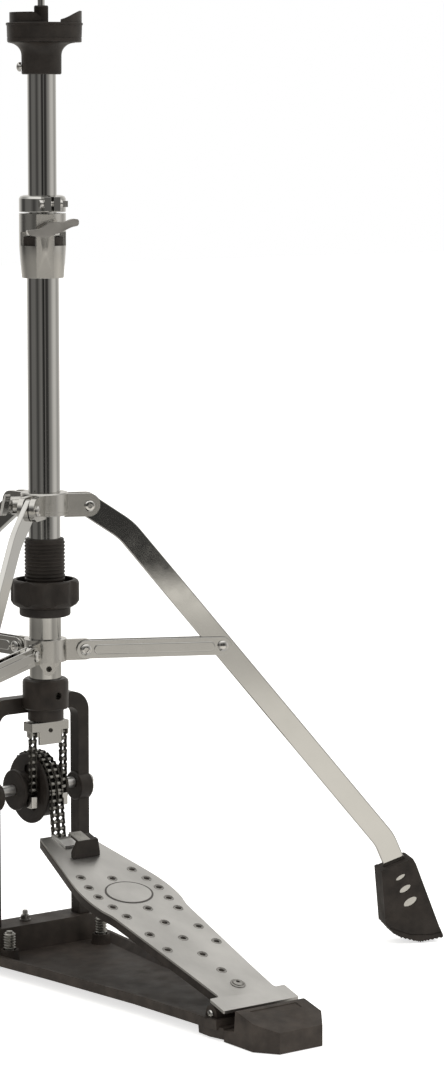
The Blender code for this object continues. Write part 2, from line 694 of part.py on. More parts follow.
def base_fittings():
    """Bolt on the bridge, spurs, heel block and hinge pin."""
    nut_low = BRIDGE_HIGH + GAP
    bolt = lathe(
        [(0, 26 * MM), (3.5 * MM, 26 * MM), (3.5 * MM, nut_low), (6 * MM, nut_low),
         (6 * MM, nut_low + 6 * MM), (3.5 * MM, nut_low + 6 * MM), (3.5 * MM, 46 * MM),
         (0, 46 * MM)], 12
    )
    finish(standing(bolt, *BRIDGE_BOLT), "base_bolt", "chrome")
    for side, word in ((-1, "left"), (1, "right")):
        spur = lathe(
            [(0, 3 * MM), (4 * MM, 9 * MM), (4 * MM, 28 * MM), (6 * MM, 28 * MM),
             (6 * MM, 33 * MM), (4.5 * MM, 35 * MM), (0, 35 * MM)], 12
        )
        place = (50 * MM * side, -14 * MM, 9 * MM)
        finish(standing(spur, 50 * MM * side, 14 * MM), f"spur_{word}", "chrome", place)
    plan = [(36, 331), (36, 355.6), (22.3, 374.6), (-22.3, 374.6), (-36, 355.6), (-36, 331)]
    block_plan = flat_prism([(a * MM, b * MM) for a, b in plan], 0, 40 * MM)
    side_view = [(330, -1), (376, -1), (376, 17.5), (355, 24), (334, 29.5), (330, 29.5)]
    heel = common(block_plan, side_prism([(a * MM, b * MM) for a, b in side_view], -50 * MM, 50 * MM))
    finish(heel, "heel_block", "rubber")
    hinge = crosswise(pin(3 * MM, 41.8 * MM, 5 * MM, 2.5 * MM), HEEL_FORWARD, HEEL_HEIGHT)
    finish(hinge, "hinge_pin", "chrome", (0, -HEEL_FORWARD, HEEL_HEIGHT))


# ---------------------------------------------------------------- footboard


def board_level(forward):
    """Height of the footboard's top face."""
    return BOARD_LEVEL + (BOARD_LEVEL_AT - forward) * BOARD_SLOPE


def board_outline(inset):
    """Plan of the footboard: narrow toe, broad belly, waist and a crosspiece at the heel."""
    corners = [(22.5, 23), (28, 46), (34, 71), (40, 96), (43.6, 115), (44.5, 134), (42.6, 149),
               (39.5, 159), (35.7, 205), (31.8, 255), (29, 297), (39.5, 301), (39.5, 321)]
    right = [(a * MM - inset, b * MM) for a, b in corners]
    right[0] = (right[0][0], right[0][1] + inset)
    right[-1] = (right[-1][0], right[-1][1] - inset)
    return right + [(-a, b) for a, b in reversed(right)]


def sloped(item, lift=0):
    """Shear a level shape so that it follows the footboard."""
    for vertex in item.data.vertices:
        vertex.co.z += board_level(-vertex.co.y) + lift
    return item


def footboard():
    """Sheet with turned-down edges and a hinge knuckle, drilled in rows."""
    sheet = 3.5 * MM
    board = flat_prism(board_outline(0), -9 * MM, 0)
    cut(board, flat_prism(board_outline(2.5 * MM), -20 * MM, -sheet))
    cut(board, block((-60 * MM, 60 * MM), (286 * MM, 330 * MM), (-20 * MM, -sheet)))
    for forward in (158, 183, 210, 238, 265):
        cut(board, standing(post(3 * MM, -20 * MM, 5 * MM, 8), 0, forward * MM))
    sloped(board)
    knuckle = crosswise(post(6.5 * MM, -14 * MM, 14 * MM, 16), HEEL_FORWARD, HEEL_HEIGHT)
    web = block((-14 * MM, 14 * MM), (293 * MM, 303 * MM), (HEEL_HEIGHT, 32.5 * MM))
    join(board, knuckle, web)
    cut(board, crosswise(post(3.3 * MM, -60 * MM, 60 * MM, 12), HEEL_FORWARD, HEEL_HEIGHT))
    pivot = (0, -HEEL_FORWARD, HEEL_HEIGHT)
    finish(board, "footboard", "aluminium", pivot)

    stop_face = [(-15, 0), (13.5, 0), (13.5, 4), (11.5, 15.5), (-9, 15.5), (-15, 5)]
    stop = front_prism([(a * MM, b * MM) for a, b in stop_face], 61.5 * MM, 65.5 * MM)
    join(stop, block((-9 * MM, 11.5 * MM), (50 * MM, 64 * MM), (13 * MM, 15.5 * MM)))
    finish(sloped(stop, GAP), "toe_block", "black_plastic", pivot)

    clip = block((-11 * MM, 10.5 * MM), (36 * MM, 48 * MM), (0, 2.5 * MM))
    for across in (-11 * MM, 8 * MM):
        join(clip, block((across, across + 2.5 * MM), (15 * MM, 37 * MM), (0, 2.5 * MM)))
    finish(sloped(clip, GAP), "chain_clip", "chrome", pivot)


# ---------------------------------------------------------------- chain drive


def sector(inner, outer, start, end, low, high):
    """Part of a ring about the axle, angles in degrees up from forward."""
    center = (AXLE_FORWARD, AXLE_HEIGHT)
    outline = arc(center, outer, start, end, 16) + arc(center, inner, end, start, 16)
    return side_prism(outline, low, high)


def cams():
    """Axle with the wheel for the pedal's chain between the two for the rod's chains."""
    center = (AXLE_FORWARD, AXLE_HEIGHT)
    pivot = (0, -AXLE_FORWARD, AXLE_HEIGHT)
    finish(crosswise(post(AXLE_R, -61 * MM, 61 * MM, 16), *center), "axle", "chrome", pivot)
    bore = AXLE_R + GAP
    wheel = lathe(
        [(0, -9.2 * MM), (32 * MM, -9.2 * MM), (32 * MM, -6.2 * MM), (27 * MM, -6.2 * MM),
         (27 * MM, 8 * MM), (0, 8 * MM)]
    )
    crosswise(wheel, *center)
    join(wheel, sector(24 * MM, 35.2 * MM, 10, 171, -6.6 * MM, 6.9 * MM))
    cut(wheel, crosswise(post(bore, -20 * MM, 20 * MM, 16), *center))
    finish(wheel, "center_cam", "black_plastic", pivot)
    for side, word in ((-1, "left"), (1, "right")):
        disc = lathe(
            [(0, 12.2 * MM), (16.2 * MM, 12.2 * MM), (16.2 * MM, 20.6 * MM), (20 * MM, 20.6 * MM),
             (20 * MM, 24.4 * MM), (0, 24.4 * MM)]
        )
        crosswise(disc, *center)
        anchor = block((13.2 * MM, 19.6 * MM), (-8 * MM, 6 * MM), (145.5 * MM, 154 * MM))
        join(disc, anchor)
        cut(disc, crosswise(post(bore, 5 * MM, 30 * MM, 16), *center))
        finish(mirrored(disc, side), f"side_cam_{word}", "black_plastic", pivot)
        nut = lathe(
            [(AXLE_R + GAP, 56.3 * MM), (6.5 * MM, 56.3 * MM), (6.5 * MM, 62 * MM),
             (4.5 * MM, 65 * MM), (0, 66 * MM), (0, 61.4 * MM), (AXLE_R + GAP, 61.4 * MM)], 16
        )
        finish(mirrored(crosswise(nut, *center), side), f"axle_nut_{word}", "chrome", pivot)


def chains():
    """The pedal's double chain and the two single chains under the rod's yoke."""
    bottom = Vector(CHAIN_PIN)
    top = Vector((AXLE_FORWARD + DRIVE_RADIUS, AXLE_HEIGHT - 1 * MM))
    along = (top - bottom).normalized()
    aside = Vector((along[1], -along[0])) * 3.3 * MM
    low = bottom - along * 3.5 * MM
    high = bottom + along * 34 * MM
    outline = [tuple(low - aside), tuple(low + aside), tuple(high + aside), tuple(high - aside)]
    drive = side_prism(outline, -5.9 * MM, 6.9 * MM)
    finish(drive, "drive_chain", "steel", (0, -CHAIN_PIN[0], CHAIN_PIN[1]))
    forward = AXLE_FORWARD + ROD_CHAIN_RADIUS
    for side, word in ((-1, "left"), (1, "right")):
        chain = block((ROD_CHAIN_ACROSS - 3 * MM, ROD_CHAIN_ACROSS + 3 * MM),
                      (forward - 3.2 * MM, forward + 3.2 * MM), (157 * MM, 212.7 * MM))
        finish(mirrored(chain, side), f"rod_chain_{word}", "steel", (0, 0, 212.7 * MM))
    yoke = block((-20 * MM, 20 * MM), (-6.5 * MM, 8 * MM), (213 * MM, 222 * MM))
    join(yoke, block((-12 * MM, 12 * MM), (5 * MM, 8 * MM), (201.3 * MM, 214 * MM)))
    cut(yoke, post(ROD_R + GAP, 200 * MM, 230 * MM, 16))
    finish(yoke, "chain_yoke", "chrome", (0, 0, 213 * MM))


clear_scene()
tubes()
clamp()
wing_bolts()
lock_ring()
seat()
adjuster()
spring()
pull_rod()
top_collar()
lower_collar()
legs()
braces()
pedal_frame()
base_plate()
base_fittings()
footboard()
cams()
chains()
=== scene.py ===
from math import asin, atan2, copysign, cos, pi, radians, sin, sqrt

import bmesh
import bpy
from mathutils import Matrix, Vector


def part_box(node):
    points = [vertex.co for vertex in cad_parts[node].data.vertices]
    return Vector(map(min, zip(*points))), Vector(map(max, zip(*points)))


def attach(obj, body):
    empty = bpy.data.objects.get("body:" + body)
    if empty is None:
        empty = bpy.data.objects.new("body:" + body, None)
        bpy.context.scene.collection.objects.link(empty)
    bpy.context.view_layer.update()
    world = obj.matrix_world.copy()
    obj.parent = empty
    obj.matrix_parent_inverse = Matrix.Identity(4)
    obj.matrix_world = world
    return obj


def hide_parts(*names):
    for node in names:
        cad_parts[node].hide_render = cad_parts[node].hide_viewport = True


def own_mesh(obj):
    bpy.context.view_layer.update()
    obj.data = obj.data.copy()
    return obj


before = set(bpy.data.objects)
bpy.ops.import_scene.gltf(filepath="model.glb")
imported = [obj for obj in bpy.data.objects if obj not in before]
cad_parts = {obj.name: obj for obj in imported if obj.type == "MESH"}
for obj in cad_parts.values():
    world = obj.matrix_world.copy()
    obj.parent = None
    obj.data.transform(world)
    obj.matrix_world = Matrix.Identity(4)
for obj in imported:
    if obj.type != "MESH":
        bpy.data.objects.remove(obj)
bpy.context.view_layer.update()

# Lengths are in millimetres until a mesh is made, and then in metres. The pedal's heel points
# towards -Y, so "forward" is -Y and "across" is +X.
MM = 0.001
WELD = 0.002

# Sides of large and of small round pieces.
STEPS = 72
FEW = 28

# R marks a radius. A turn goes round the tube from facing the heel, counterclockwise from above.
# Pivots, HEEL and AXLE are (forward, up) in the side view.
TUBE_R = 14.3
UPPER_R = 12.7
ROD_R = 3.15
ON_TUBE_R = TUBE_R + 0.3
CLAMP_R = 20.8
CLAMP_TURN = radians(-18)
PAD_TURN = radians(-28)
LOCK_TURN = radians(-15)
WING_HEIGHT = 666
SEAT_TURN = radians(-33.8)
LEG_TURNS = [radians(66.2), radians(-53.8), radians(-173.8)]
TOP_PIVOT = (39.8, 416.7)
LOW_PIVOT = (36.2, 286)
BRACE_PIVOT = (163, 285)
LEG_WIDTH = 20.5
WING_TURN = radians(-113.8)
LEG_WING_HEIGHT = TOP_PIVOT[1] + 1.3
SLEEVE_R = 18.2
SLOT_TURN = radians(-123.8)
AXLE_FORWARD = -17
AXLE_HEIGHT = 158
AXLE = (AXLE_FORWARD, AXLE_HEIGHT)
AXLE_R = 4.25
DRIVE_RADIUS = 31.8
ROD_CHAIN_ACROSS = 16.4
ROD_CHAIN_FORWARD = 3
HEEL = (298, 20)
CHAIN_PIN = (19, 119)
CHAIN_PITCH = 6.35
DRIVE_STRANDS = (-2.7, 3.7)
STRAND_WIDTH = 6.2
BRIDGE_HIGH = 35
SEAT_R = 33
BRIDGE_BOLT = (-10, -21)
WIRE_R = 1.3
SPUR_ACROSS, SPUR_FORWARD = 50, 14
SIDES = ((-1, "left"), (1, "right"))


# ---------------------------------------------------------------- shapes


def linked(name, data):
    """Put new data into the scene as an object."""
    item = bpy.data.objects.new(name, data)
    bpy.context.scene.collection.objects.link(item)
    return item


def to_object(mesh, unit=MM):
    """Turn a bmesh into a linked object in metres with its faces pointing out."""
    bmesh.ops.recalc_face_normals(mesh, faces=mesh.faces)
    data = bpy.data.meshes.new("shape")
    mesh.to_mesh(data)
    mesh.free()
    data.transform(Matrix.Scale(unit, 4))
    return linked("shape", data)


def lathe(profile, steps=STEPS):
    """Revolve a closed (radius, height) profile about Z."""
    mesh = bmesh.new()
    rings = []
    for radius, height in profile:
        ring_points = []
        for index in range(1 if radius == 0 else steps):
            angle = 2 * pi * index / steps
            ring_points.append(mesh.verts.new((radius * sin(angle), -radius * cos(angle), height)))
        rings.append(ring_points)
    for low, high in zip(rings, rings[1:] + rings[:1]):
        if len(low) == 1 and len(high) == 1:
            continue
        for index in range(steps):
            after = (index + 1) % steps
            corners = [low[index % len(low)], low[after % len(low)]]
            corners += [high[after % len(high)], high[index % len(high)]]
            mesh.faces.new(list(dict.fromkeys(corners)))
    return to_object(mesh)


def ring(inner, outer, low, high, steps=STEPS):
    """Upright tube."""
    return lathe([(inner, low), (outer, low), (outer, high), (inner, high)], steps)


def post(radius, low, high, steps=STEPS):
    """Upright cylinder."""
    return lathe([(0, low), (radius, low), (radius, high), (0, high)], steps)


def loft(low_points, high_points):
    """Close the solid between two loops of as many points."""
    mesh = bmesh.new()
    low = [mesh.verts.new(point) for point in low_points]
    high = [mesh.verts.new(point) for point in high_points]
    mesh.faces.new(low)
    mesh.faces.new(high)
    for index in range(len(low)):
        after = (index + 1) % len(low)
        mesh.faces.new([low[index], low[after], high[after], high[index]])
    return to_object(mesh)


def flat_prism(outline, low, high, top=None):
    """Extrude an (across, forward) outline upwards, to another one if top is given."""
    return loft([(a, -b, low) for a, b in outline], [(a, -b, high) for a, b in top or outline])


def side_prism(outline, low, high):
    """Extrude a (forward, up) outline across."""
    return loft([(low, -a, b) for a, b in outline], [(high, -a, b) for a, b in outline])


def front_prism(outline, low, high):
    """Extrude an (across, up) outline forward."""
    return loft([(a, -low, b) for a, b in outline], [(a, -high, b) for a, b in outline])


def block(across, forward, up):
    """A box between the given pairs of limits."""
    corners = [(across[0], forward[0]), (across[1], forward[0])]
    corners += [(across[1], forward[1]), (across[0], forward[1])]
    return flat_prism(corners, *up)


def rectangle(half_width, near, far):
    """Plan corners of a rectangle centred across."""
    return [(-half_width, near), (half_width, near), (half_width, far), (-half_width, far)]


def arc(center, radius, start, end, count):
    """Points on an arc, its angles in degrees."""
    points = []
    for index in range(count + 1):
        angle = radians(start + (end - start) * index / count)
        points.append((center[0] + radius * cos(angle), center[1] + radius * sin(angle)))
    return points


def moved(item, place, angle=0, axis="Z"):
    """Turn a shape about an axis through the origin, then shift it to a place."""
    shift = Matrix.Translation(Vector(place) * MM)
    item.data.transform(shift @ Matrix.Rotation(angle, 4, axis))
    return item


def turned(item, angle):
    """Swing a shape about Z from facing the heel to facing another way."""
    return moved(item, (0, 0, 0), angle)


def outward(item, height):
    """Lay an upright shape down so that its +Z faces the heel."""
    return moved(item, (0, 0, height), pi / 2, "X")


def crosswise(item, forward, height):
    """Lay an upright shape along X at a place in the side view."""
    return moved(item, (0, -forward, height), pi / 2, "Y")


def standing(item, across, forward):
    """Shift an upright shape to a place in plan."""
    return moved(item, (across, -forward, 0))


def raised(item, level):
    """Raise each point of a shape to the level that its distance forward calls for."""
    for vertex in item.data.vertices:
        vertex.co.z += level(-vertex.co.y / MM) * MM
    return item


def mirrored(item, side):
    """Flip a shape to the left when side is -1."""
    if side < 0:
        item.data.transform(Matrix.Scale(-1, 4, (1, 0, 0)))
        item.data.flip_normals()
    return item


def boolean(target, tool, operation):
    """Combine a shape with another, which is used up, and weld what touches."""
    modifier = target.modifiers.new("cut", "BOOLEAN")
    modifier.operation = operation
    modifier.object = tool
    graph = bpy.context.evaluated_depsgraph_get()
    result = bpy.data.meshes.new_from_object(target.evaluated_get(graph))
    target.modifiers.clear()
    target.data = result
    bpy.data.objects.remove(tool)
    mesh = bmesh.new()
    mesh.from_mesh(result)
    bmesh.ops.remove_doubles(mesh, verts=mesh.verts, dist=WELD * MM)
    mesh.to_mesh(result)
    mesh.free()
    return target


def join(target, *others):
    for other in others:
        boolean(target, other, "UNION")
    return target


def cut(target, *others):
    for other in others:
        boolean(target, other, "DIFFERENCE")
    return target


def common(target, other):
    return boolean(target, other, "INTERSECT")


def cross_hole(item, radius, forward, height, steps=FEW):
    """Drill an item from side to side."""
    cut(item, crosswise(post(radius, -80, 80, steps), forward, height))


def screw_hole(item, radius, height, angle=0):
    """Drill one wall of a hollow item, facing the heel or turned from it."""
    cut(item, turned(outward(post(radius, 12, 40, FEW), height), angle))


def gather(items):
    """Put separate closed shapes into one mesh without merging them."""
    mesh = bmesh.new()
    for item in items:
        mesh.from_mesh(item.data)
        bpy.data.objects.remove(item)
    return to_object(mesh, 1)


def smooth_curve(points, count=6, closed=False):
    """Catmull-Rom curve through points."""
    result = []
    size = len(points)
    spans = size if closed else size - 1
    for index in range(spans):
        if closed:
            four = [points[(index + offset) % size] for offset in (-1, 0, 1, 2)]
        else:
            four = [points[min(max(index + offset, 0), size - 1)] for offset in (-1, 0, 1, 2)]
        for step in range(count):
            t = step / count
            weights = ((-t + 2 * t**2 - t**3) / 2, (2 - 5 * t**2 + 3 * t**3) / 2,
                       (t + 4 * t**2 - 3 * t**3) / 2, (-(t**2) + t**3) / 2)
            result.append(tuple(sum(w * p[axis] for w, p in zip(weights, four)) for axis in (0, 1)))
    if not closed:
        result.append(points[-1])
    return result


def dress(item, name, surface, body, *nodes, bevel=0, segments=2, slot="chrome"):
    """Name a piece, give it its surface and soft edges, and hang it on its body."""
    item.name = name
    item.data.name = name
    item.data.materials.clear()
    item.data.materials.append(surface)
    item.data.shade_smooth()
    if bevel:
        edges = item.modifiers.new("edges", "BEVEL")
        edges.width = bevel * MM
        edges.segments = segments
        edges.limit_method = "ANGLE"
        edges.angle_limit = radians(28)
        edges.use_clamp_overlap = True
        edges.harden_normals = True
    else:
        item.data.set_sharp_from_angle(angle=radians(32))
    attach(item, body)
    if nodes:
        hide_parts(*nodes)
    return item


def heights(node):
    """Lowest and highest point of a CAD piece."""
    low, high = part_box(node)
    return low[2] / MM, high[2] / MM


# ---------------------------------------------------------------- surfaces


def node(tree, kind, inputs=(), **settings):
    """Add a shader node, its inputs given as values or as the sockets that feed them."""
    item = tree.nodes.new("ShaderNode" + kind)
    for name, value in settings.items():
        setattr(item, name, value)
    for socket, value in dict(inputs).items():
        if isinstance(value, bpy.types.NodeSocket):
            tree.links.new(value, item.inputs[socket])
        else:
            item.inputs[socket].default_value = value
    return item


def color_ramp(tree, source, stops):
    """Map 0..1 through (position, brightness or colour) stops."""
    ramp = node(tree, "ValToRGB", {"Fac": source})
    elements = ramp.color_ramp.elements
    while len(elements) < len(stops):
        elements.new(0.5)
    for element, (position, value) in zip(elements, stops):
        element.position = position
        color = value if isinstance(value, tuple) else (value, value, value)
        element.color = (*color, 1)
    return ramp.outputs["Color"]


def shade(color, share):
    """A colour made brighter or darker."""
    return tuple(min(value * share, 1) for value in color)


class Surface:
    """A node material under construction."""

    def __init__(self, name, color, roughness, metallic):
        self.material = bpy.data.materials.new(name)
        self.material.use_nodes = True
        self.tree = self.material.node_tree
        self.shader = self.tree.nodes["Principled BSDF"]
        self.set("Base Color", (*color, 1))
        self.set("Roughness", roughness)
        self.set("Metallic", metallic)
        self.place = node(self.tree, "TexCoord").outputs["Object"]

    def set(self, socket, value):
        self.shader.inputs[socket].default_value = value

    def link(self, output, target):
        self.tree.links.new(output, target)

    def noise(self, scale, detail=4.0, stretch=(1, 1, 1), rough=0.55):
        """Noise on the object's own coordinates, in features per metre."""
        mapping = node(self.tree, "Mapping", {"Vector": self.place, "Scale": stretch})
        inputs = {"Vector": mapping.outputs[0], "Scale": scale, "Detail": detail, "Roughness": rough}
        return node(self.tree, "TexNoise", inputs).outputs["Fac"]

    def drive(self, source, socket, stops):
        """Let a source steer a socket through a ramp."""
        self.link(color_ramp(self.tree, source, stops), self.shader.inputs[socket])

    def bump(self, source, strength, distance):
        """Add a fine relief on top of any that is there."""
        bump = node(self.tree, "Bump", {"Height": source, "Strength": strength, "Distance": distance})
        previous = self.shader.inputs["Normal"].links
        if previous:
            self.link(previous[0].from_socket, bump.inputs["Normal"])
        self.link(bump.outputs["Normal"], self.shader.inputs["Normal"])


def chrome(name, tint, low=0.07, high=0.16):
    """Plated steel: nearly a mirror, with faint waviness and handling marks."""
    surface = Surface(name, tint, low, 1.0)
    marks = surface.noise(90, 6)
    surface.drive(marks, "Roughness", [(0.35, low), (0.7, high)])
    stops = [(0.3, shade(tint, 0.975)), (0.7, shade(tint, 1.015))]
    surface.drive(surface.noise(28, 3), "Base Color", stops)
    surface.bump(surface.noise(160, 2), 0.004, 0.0003)
    return surface.material


def steel(name, tint, roughness=0.3):
    """Bare steel with a fine grain."""
    surface = Surface(name, tint, roughness, 1.0)
    grain = surface.noise(900, 3)
    surface.drive(grain, "Roughness", [(0.3, roughness * 0.7), (0.7, roughness * 1.4)])
    surface.drive(surface.noise(120, 5), "Base Color", [(0.3, shade(tint, 0.75)), (0.7, tint)])
    surface.bump(grain, 0.12, 0.0001)
    return surface.material


def brushed(name, tint):
    """Aluminium sheet brushed from toe to heel."""
    surface = Surface(name, tint, 0.34, 1.0)
    grain = surface.noise(260, 8, (9, 0.22, 9), 0.7)
    broad = surface.noise(22, 4, (1.2, 0.7, 1))
    surface.drive(grain, "Roughness", [(0.3, 0.27), (0.7, 0.46)])
    surface.drive(broad, "Base Color", [(0.3, shade(tint, 0.84)), (0.72, shade(tint, 1.08))])
    surface.bump(grain, 0.2, 0.0002)
    surface.set("Anisotropic", 0.5)
    return surface.material


def black(name, tone, low, high, grain_scale=1500, grain=0.25, depth=0.0002):
    """Black paint or moulding with fine grain, soft patches and paler worn spots."""
    surface = Surface(name, (tone, tone * 0.8, tone * 0.66), low, 0.0)
    patches = surface.noise(45, 5)
    surface.drive(patches, "Roughness", [(0.3, low), (0.7, high)])
    dark = (tone * 0.75, tone * 0.6, tone * 0.5)
    pale = (tone * 1.5, tone * 1.2, tone * 0.98)
    surface.drive(surface.noise(70, 6), "Base Color", [(0.32, dark), (0.75, pale)])
    surface.bump(surface.noise(grain_scale, 3), grain, depth)
    surface.set("Specular IOR Level", 0.32)
    return surface.material


def plain(name, color, roughness):
    """Moulded plastic of one colour."""
    surface = Surface(name, color, roughness, 0.0)
    grain = surface.noise(700, 3)
    surface.drive(grain, "Roughness", [(0.3, roughness * 0.85), (0.7, min(roughness * 1.2, 1))])
    surface.bump(grain, 0.08, 0.0001)
    return surface.material


CHROME = chrome("chrome_plate", (0.66, 0.655, 0.635), 0.035, 0.055)
SATIN_CHROME = chrome("chrome_casting", (0.64, 0.63, 0.605), 0.19, 0.23)
CASTING = chrome("wing_casting", (0.7, 0.685, 0.66), 0.28, 0.36)
BRIGHT = chrome("bright_chrome", (0.74, 0.73, 0.71), 0.1, 0.22)
CLIP = brushed("clip_steel", (0.95, 0.94, 0.92))
ROLLER = steel("chain_roller", (0.46, 0.45, 0.42), 0.34)
STEEL = steel("plain_steel", (0.42, 0.41, 0.39))
DARK_STEEL = steel("dark_steel", (0.10, 0.095, 0.085), 0.42)
ALUMINIUM = brushed("brushed_aluminium", (0.66, 0.65, 0.63))
PAINT = black("satin_black_paint", 0.021, 0.3, 0.45, 900, 0.12, 0.00015)
PLASTIC = black("black_moulding", 0.018, 0.36, 0.55, 1800, 0.3, 0.0002)
TRAY = black("black_tray", 0.036, 0.48, 0.68, 1300, 0.5, 0.0003)
RUBBER = black("black_rubber", 0.024, 0.6, 0.85, 1000, 0.4, 0.0003)
HEEL_RUBBER = black("heel_rubber", 0.04, 0.5, 0.7, 1200, 0.35, 0.0003)
NYLON = plain("natural_nylon", (0.75, 0.74, 0.7), 0.5)
BADGE_RING = plain("badge_ring", (0.07, 0.065, 0.06), 0.45)


# ---------------------------------------------------------------- tube, clamp and seat


def hollow(inner, outer, low, high):
    """Tube with its ends turned off at a small angle."""
    edge = 0.5
    return lathe([(inner, low), (outer - edge, low), (outer, low + edge), (outer, high - edge),
                  (outer - edge, high), (inner, high)])


def slot_pair(reach, low, high=352, half_width=2.9):
    """Bar that cuts the two slots in which the spring seat's arms travel."""
    return turned(block((-half_width, half_width), (-reach, reach), (low, high)), SLOT_TURN)


def tubes():
    """Lower tube with slots for the spring seat, and upper tube."""
    lower = hollow(13.1, TUBE_R, *heights("lower_tube"))
    cut(lower, slot_pair(25, 316))
    dress(lower, "lower_tube_shell", CHROME, "stand", "lower_tube")
    upper = hollow(11.5, UPPER_R, *heights("upper_tube"))
    dress(upper, "upper_tube_shell", CHROME, "upper", "upper_tube")


def clamp():
    """Clamp body, tapered below, with a flat pad between its two windows."""
    low, high = heights("clamp_body")
    tube_top = heights("lower_tube")[1] + 0.3
    outer = [(18.4, low), (18.7, low + 0.8)]
    outer += [(CLAMP_R - 0.4, 643), (CLAMP_R, 649), (CLAMP_R, high)]
    body = lathe([(10, low)] + outer + [(10, high)])
    join(body, flat_prism(rectangle(7.6, 8, 19.2), low + 0.4, high - 0.4, rectangle(7.6, 8, 22)))
    cut(body, post(ON_TUBE_R, 600, tube_top), post(16, tube_top - 0.3, 700))
    for side in (-1, 1):
        cut(body, mirrored(block((8.6, 24), (5, 24), (649.7, 661.8)), side))
    turned(body, PAD_TURN - CLAMP_TURN)
    screw_hole(body, 3.3, WING_HEIGHT)
    turned(body, CLAMP_TURN)
    dress(body, "clamp_shell", SATIN_CHROME, "stand", "clamp_body", bevel=0.5)
    lining = ring(ON_TUBE_R + 0.2, 18.2, 646, tube_top - 1)
    dress(lining, "clamp_lining", PLASTIC, "stand", slot="black_plastic")


WING_LEAF = [(-23.4, -3), (-21.3, -1.6), (-12.3, -0.6), (-5.7, 2.9), (2.5, 5.2), (10.7, 5.2), (17.2, 7.6),
             (22.5, 7.4), (23.8, 4.9), (22.7, 1.9), (17.2, 0.5), (11.5, -2), (5.7, -4.5), (-4.9, -7.7),
             (-14, -7.5), (-20.5, -6.1)]


def wing_bolt(start, length, scale, tilt):
    """Screw with a leaf-shaped wing, along +Z from a radius."""
    collar = start + length
    bolt = lathe([(0, start), (3, start), (3, collar), (5, collar), (5.4, collar + 1), (5, collar + 4),
                  (4.4, collar + 5), (0, collar + 5)], FEW)
    leaf = smooth_curve([(a * scale, b * scale) for a, b in WING_LEAF], 4, True)
    wing = flat_prism([(a, -b) for a, b in leaf], collar + 3, collar + 7.6)
    return join(bolt, turned(wing, tilt))


def wing_bolts():
    """Wing bolts of the height clamp and of the tripod's collar."""
    bolt = wing_bolt(16.2, 10, 1, 0)
    turned(outward(bolt, WING_HEIGHT), CLAMP_TURN)
    dress(bolt, "clamp_wing", CASTING, "clamp_wing", "clamp_wing_bolt", bevel=1.1, segments=3)
    bolt = wing_bolt(15, 15.5, 0.82, radians(20))
    turned(outward(bolt, LEG_WING_HEIGHT), WING_TURN)
    dress(bolt, "tripod_wing", STEEL, "tripod_wing", "tripod_wing_bolt", bevel=1, segments=3,
          slot="steel")


def lock():
    """Split lock ring with its ears and key bolt."""
    low, high = heights("lock_ring")
    body = lathe([(10, low), (CLAMP_R - 0.3, low), (CLAMP_R, low + 0.5), (CLAMP_R, high - 3),
                  (CLAMP_R - 1.2, high - 1), (CLAMP_R - 4, high), (10, high)])
    join(body, block((-7.5, 7.5), (14, 27.8), (low + 1, high - 1)))
    cut(body, post(UPPER_R + 0.3, 600, 700))
    cut(body, block((-1.2, 1.2), (5, 40), (600, 700)))
    middle = (low + high) / 2
    cross_hole(body, 2.8, 23, middle)
    dress(turned(body, LOCK_TURN), "lock_ring_shell", CHROME, "lock", "lock_ring", bevel=0.6)
    bolt = lathe([(0, -10.8), (3.2, -10.8), (3.8, -10), (3.8, -7.7), (2.5, -7.7), (2.5, 7.7), (3.8, 7.7),
                  (3.8, 10), (0, 10)], FEW)
    join(bolt, block((-2.7, 2.7), (-2.7, 2.7), (9.5, 15)))
    turned(crosswise(bolt, 23, middle), LOCK_TURN)
    dress(bolt, "lock_key_bolt", BRIGHT, "lock", "lock_bolt", bevel=0.3)


def seat():
    """Flared holder and the cup, with a raised half drum and a wedge at its rim."""
    low = heights("seat_holder")[0]
    bore = ROD_R + 0.45
    flare = []
    for index in range(11):
        angle = radians(90 * index / 10)
        flare.append((29.5 - 11.8 * cos(angle), 816.5 + 11 * sin(angle)))
    foot = [(13, low), (16.8, low), (17.6, low + 0.8)]
    holder = lathe(foot + flare + [(bore, 827.6), (bore, 822.4), (13, 822.4)])
    height = 806.5
    left = SEAT_TURN - pi / 2
    screw_hole(holder, 2.3, height, left)
    dress(holder, "seat_holder_shell", PLASTIC, "upper", "seat_holder", slot="black_plastic")
    screw = lathe([(0, 13.2), (2, 13.2), (2, 17.9), (4.2, 17.9)] + dome(4.2, 19.2) + [(0, 22.2)], FEW)
    turned(outward(screw, height), left)
    dress(screw, "seat_screw_head", BRIGHT, "upper", "seat_screw")

    shift = 2.7
    bottom, top = 828, 845
    cup = lathe([(0, bottom), (32.3, bottom), (32.8, bottom + 0.5), (33.2, top - 2.4), (33.9, top - 2),
                 (33.9, top - 0.5), (33.4, top), (0, top)])
    standing(cup, shift, 0)
    drum = flat_prism(arc((0, 0), 28, 90, 270, 32), top - 1, 854)
    edge = [(-30, top - 2), (9, top - 1), (4, 846), (-2, 851), (-6, 853.6), (-10, 854.6), (-30, 854.6)]
    common(drum, front_prism(edge, -40, 40))
    wedge = standing(post(SEAT_R, top - 1, 856), shift, 0)
    slope = [(17, top - 2), (40, top - 2), (40, 855.2), (33.5, 855.2), (29, 852.8), (24, 850),
             (20.5, 848.4), (17, 847.3)]
    common(wedge, front_prism(slope, -40, 40))
    sleeve = lathe([(0, top - 1), (7, top - 1), (6.3, top + 1), (6.3, 859), (5.6, 860), (0, 860)], 40)
    join(cup, drum, wedge, sleeve)
    cut(cup, post(bore, 800, 870, 40))
    cut(cup, standing(ring(32.6, 34, 831.5, 832.2), shift, 0))
    turned(cup, SEAT_TURN)
    dress(cup, "seat_cup_shell", PLASTIC, "upper", "seat_cup", bevel=0.45, slot="black_plastic")


# ---------------------------------------------------------------- spring adjuster


